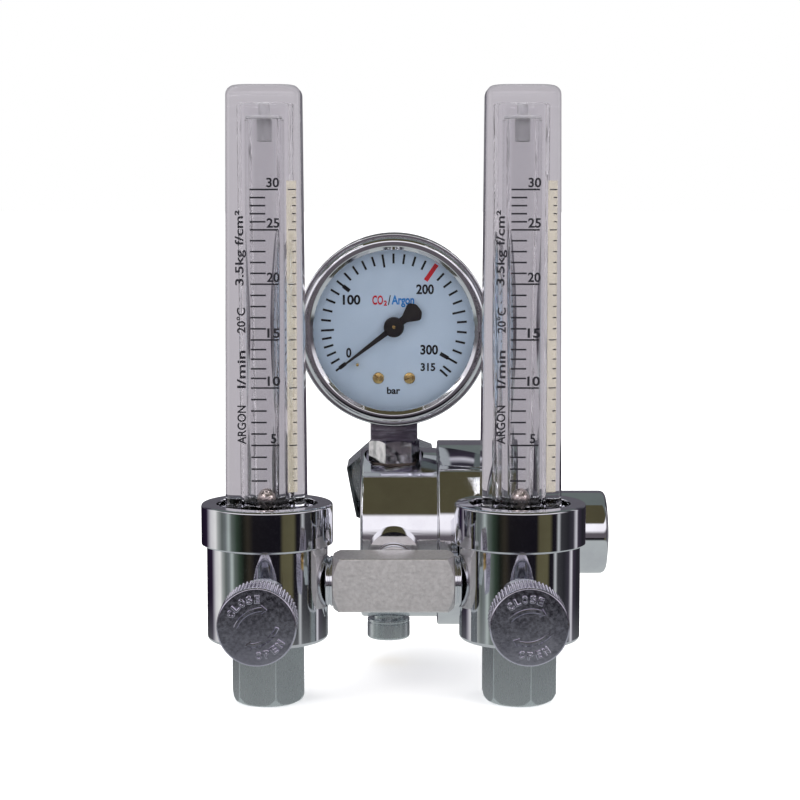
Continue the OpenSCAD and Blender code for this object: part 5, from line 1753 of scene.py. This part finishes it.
@dataclass
class Studio:
    """The floor, the surroundings, the lights and the camera."""

    floor_r: float = 40.0
    camera_place: tuple[float, float, float] = (0.00204, -0.70836, 0.10166)
    pitch: float = 5.778
    lens: float = 86.86
    bands: tuple[tuple[float, Colour], ...] = (
        (-180, (0.03, 0.022, 0.04)), (-150, (0.012, 0.008, 0.018)),
        (-127, (0.02, 0.012, 0.03)), (-121, (0.25, 0.23, 0.27)), (-112, (0.72, 0.71, 0.71)),
        (-98, (0.90, 0.89, 0.86)), (-92, (0.42, 0.44, 0.42)), (-82, (0.13, 0.15, 0.14)),
        (-74, (0.18, 0.20, 0.20)), (-67, (0.50, 0.56, 0.53)), (-61, (0.14, 0.17, 0.15)),
        (-50, (0.035, 0.055, 0.038)), (-40, (0.010, 0.012, 0.009)), (-30, (0.035, 0.030, 0.022)),
        (-20, (0.010, 0.009, 0.011)), (26, (0.009, 0.008, 0.012)), (32, (0.11, 0.10, 0.055)),
        (50, (0.12, 0.11, 0.060)), (56, (0.010, 0.009, 0.012)), (63, (0.014, 0.012, 0.018)),
        (68, (0.60, 0.62, 0.62)), (73, (0.05, 0.05, 0.055)), (90, (0.025, 0.025, 0.03)),
        (104, (0.05, 0.045, 0.06)), (113, (0.80, 0.78, 0.82)), (119, (0.05, 0.04, 0.06)),
        (138, (0.02, 0.02, 0.025)), (156, (0.03, 0.025, 0.035)), (180, (0.03, 0.022, 0.04)))

    dim_wall: Colour = (0.125, 0.110, 0.125)
    back_wall: Colour = (0.125, 0.12, 0.14)
    soft_box: Colour = (1.15, 1.12, 1.17)
    back_ceiling: Colour = (0.15, 0.175, 0.17)
    front_ceiling: Colour = (0.085, 0.076, 0.042)
    ground: Colour = (0.48, 0.51, 0.51)
    seen_through: Colour = (0.66, 0.63, 0.67)
    seen_share: float = 0.76
    fill_light: Colour = (1.55, 1.55, 1.55)
    backdrop: Colour = (1.0, 1.0, 1.0)

    def build(self) -> None:
        """Builds the whole studio."""
        self.floor()
        self.surroundings()
        self.lights()
        self.camera()

    def floor(self) -> None:
        """Lays a plain pale floor under the object's lowest point."""
        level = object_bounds()[0].z
        bm = bmesh.new()
        bmesh.ops.create_circle(bm, cap_ends=True, segments=96, radius=self.floor_r)
        bmesh.ops.translate(bm, verts=bm.verts, vec=(0.0, 0.0, level))
        mesh = mesh_of(bm, outward=False)
        mesh.materials.append(FLOOR_PALE.material())
        floor = bpy.data.objects.new("floor", mesh)
        bpy.context.scene.collection.objects.link(floor)
        floor.visible_glossy = False
        floor.visible_transmission = False
        floor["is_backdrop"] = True

    def surroundings(self) -> None:
        """Makes a white room that shines in metal as a studio with dark and light upright bands."""
        world = bpy.data.worlds.new("studio")
        bpy.context.scene.world = world
        world.use_nodes = True
        nodes, link = world.node_tree.nodes, world.node_tree.links.new
        nodes.clear()

        def math_node(operation: str, *inputs: object) -> bpy.types.NodeSocket:
            """Adds a math node whose inputs are sockets or numbers."""
            node = nodes.new("ShaderNodeMath")
            node.operation = operation
            for i, value in enumerate(inputs):
                if isinstance(value, bpy.types.NodeSocket):
                    link(value, node.inputs[i])
                else:
                    node.inputs[i].default_value = value
            return node.outputs[0]

        def step(value: bpy.types.NodeSocket, start: float, end: float) -> bpy.types.NodeSocket:
            """Rises smoothly from 0 at start to 1 at end."""
            node = nodes.new("ShaderNodeMapRange")
            node.interpolation_type = "SMOOTHSTEP"
            node.inputs["From Min"].default_value = start
            node.inputs["From Max"].default_value = end
            link(value, node.inputs["Value"])
            return node.outputs["Result"]

        def mix(factor: bpy.types.NodeSocket, first: object, second: object) -> bpy.types.NodeSocket:
            """Mixes two colours or colour sockets."""
            node = nodes.new("ShaderNodeMix")
            node.data_type = "RGBA"
            sockets = [s for s in node.inputs if s.type == "RGBA"]
            link(factor, node.inputs[0])
            for socket, value in zip(sockets, (first, second)):
                if isinstance(value, bpy.types.NodeSocket):
                    link(value, socket)
                else:
                    socket.default_value = (*value, 1.0)
            return next(s for s in node.outputs if s.type == "RGBA")

        parts = nodes.new("ShaderNodeSeparateXYZ")
        link(nodes.new("ShaderNodeTexCoord").outputs["Generated"], parts.inputs[0])
        x, y, z = parts.outputs
        bearing = math_node("ARCTAN2", x, math_node("MULTIPLY", y, -1.0))
        share = math_node("MULTIPLY_ADD", bearing, 1.0 / math.tau, 0.5)
        ramp = nodes.new("ShaderNodeValToRGB")
        ramp.color_ramp.interpolation = "LINEAR"
        stops = ramp.color_ramp.elements
        stops[0].position, stops[0].color = 0.0, (*self.bands[0][1], 1.0)
        stops[1].position, stops[1].color = 1.0, (*self.bands[-1][1], 1.0)
        for angle, colour in self.bands[1:-1]:
            stop = stops.new((angle + 180) / 360)
            stop.color = (*colour, 1.0)
        link(share, ramp.inputs[0])
        away = math_node("ABSOLUTE", bearing)
        front = math_node("SUBTRACT", 1.0, step(away, math.radians(65), math.radians(95)))

        def above(low: float, high: float) -> bpy.types.NodeSocket:
            """0 below one elevation in degrees and 1 above another."""
            return step(z, math.sin(math.radians(low)), math.sin(math.radians(high)))

        dim = math_node("MULTIPLY", above(-8.5, -6.5), front)
        walls = mix(dim, ramp.outputs[0], self.dim_wall)
        behind = math_node("MULTIPLY", above(-4, 2), step(away, math.radians(125), math.radians(150)))
        walls = mix(behind, walls, self.back_wall)
        soft_box = math_node("MULTIPLY", above(3, 14), front)
        walls = mix(soft_box, walls, self.soft_box)
        ceiling = mix(front, self.back_ceiling, self.front_ceiling)
        room = mix(above(29, 34), walls, ceiling)
        ground = math_node("SUBTRACT", 1.0, above(-17, -11.4))
        room = mix(ground, room, self.ground)
        paths = nodes.new("ShaderNodeLightPath")
        sharp = math_node("MAXIMUM", paths.outputs["Is Glossy Ray"], paths.outputs["Is Transmission Ray"])
        undiffused = math_node("SUBTRACT", 1.0, math_node("MINIMUM", paths.outputs["Diffuse Depth"], 1.0))
        clear = math_node("MULTIPLY", paths.outputs["Is Transmission Ray"], step(y, -0.1, 0.3))
        through = mix(math_node("MULTIPLY", clear, self.seen_share), room, self.seen_through)
        open_air = mix(paths.outputs["Is Camera Ray"], self.fill_light, self.backdrop)
        colour = mix(math_node("MULTIPLY", sharp, undiffused), open_air, through)
        shine = nodes.new("ShaderNodeBackground")
        link(colour, shine.inputs["Color"])
        shine.inputs["Strength"].default_value = 1.0
        link(shine.outputs[0], nodes.new("ShaderNodeOutputWorld").inputs["Surface"])

    def lights(self) -> None:
        """Adds soft lights above and beside the object."""
        aim = Vector((0.0, -0.07, 0.03))
        for name, place, size, power in (
                ("overhead", (0.0, -0.2, 1.3), 1.2, 9.0),
                ("front_left", (-0.7, -0.9, 0.9), 0.5, 3.0),
                ("front_right", (0.8, -0.8, 0.5), 0.5, 1.5)):
            data = bpy.data.lights.new(name, "AREA")
            data.size = size
            data.energy = power
            light = bpy.data.objects.new(name, data)
            light.location = place
            light.rotation_mode = "QUATERNION"
            light.rotation_quaternion = (aim - Vector(place)).to_track_quat("-Z", "Y")
            light.visible_glossy = False
            bpy.context.scene.collection.objects.link(light)

    def camera(self) -> None:
        """Sets the camera in front of the object, looking slightly down."""
        data = bpy.data.cameras.new("camera")
        data.sensor_width = 36.0
        data.lens = self.lens
        data.clip_start = 0.01
        camera = bpy.data.objects.new("camera", data)
        camera.location = self.camera_place
        camera.rotation_euler = (math.radians(90 - self.pitch), 0.0, 0.0)
        bpy.context.scene.collection.objects.link(camera)
        bpy.context.scene.camera = camera
        bpy.context.scene.view_settings.view_transform = "Standard"


def main() -> None:
    """Builds the object around its frame and sets up the studio."""
    logging.basicConfig(level=logging.INFO, format="%(name)s: %(message)s")
    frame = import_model()
    fitter = Fitter(frame)
    Regulator(fitter).build()
    Inlet(fitter).build()
    SafetyValve(fitter).build()
    Gauge(fitter).build()
    CrossBar(fitter).build()
    for side in Side:
        Flowmeter(fitter, side).build()
        Valve(fitter, side).build()
    fitter.coat(RUBBER, "meter_seals")
    Studio().build()
    log.info("%d pieces made", fitter.count)


if __name__ == "__main__":
    main()
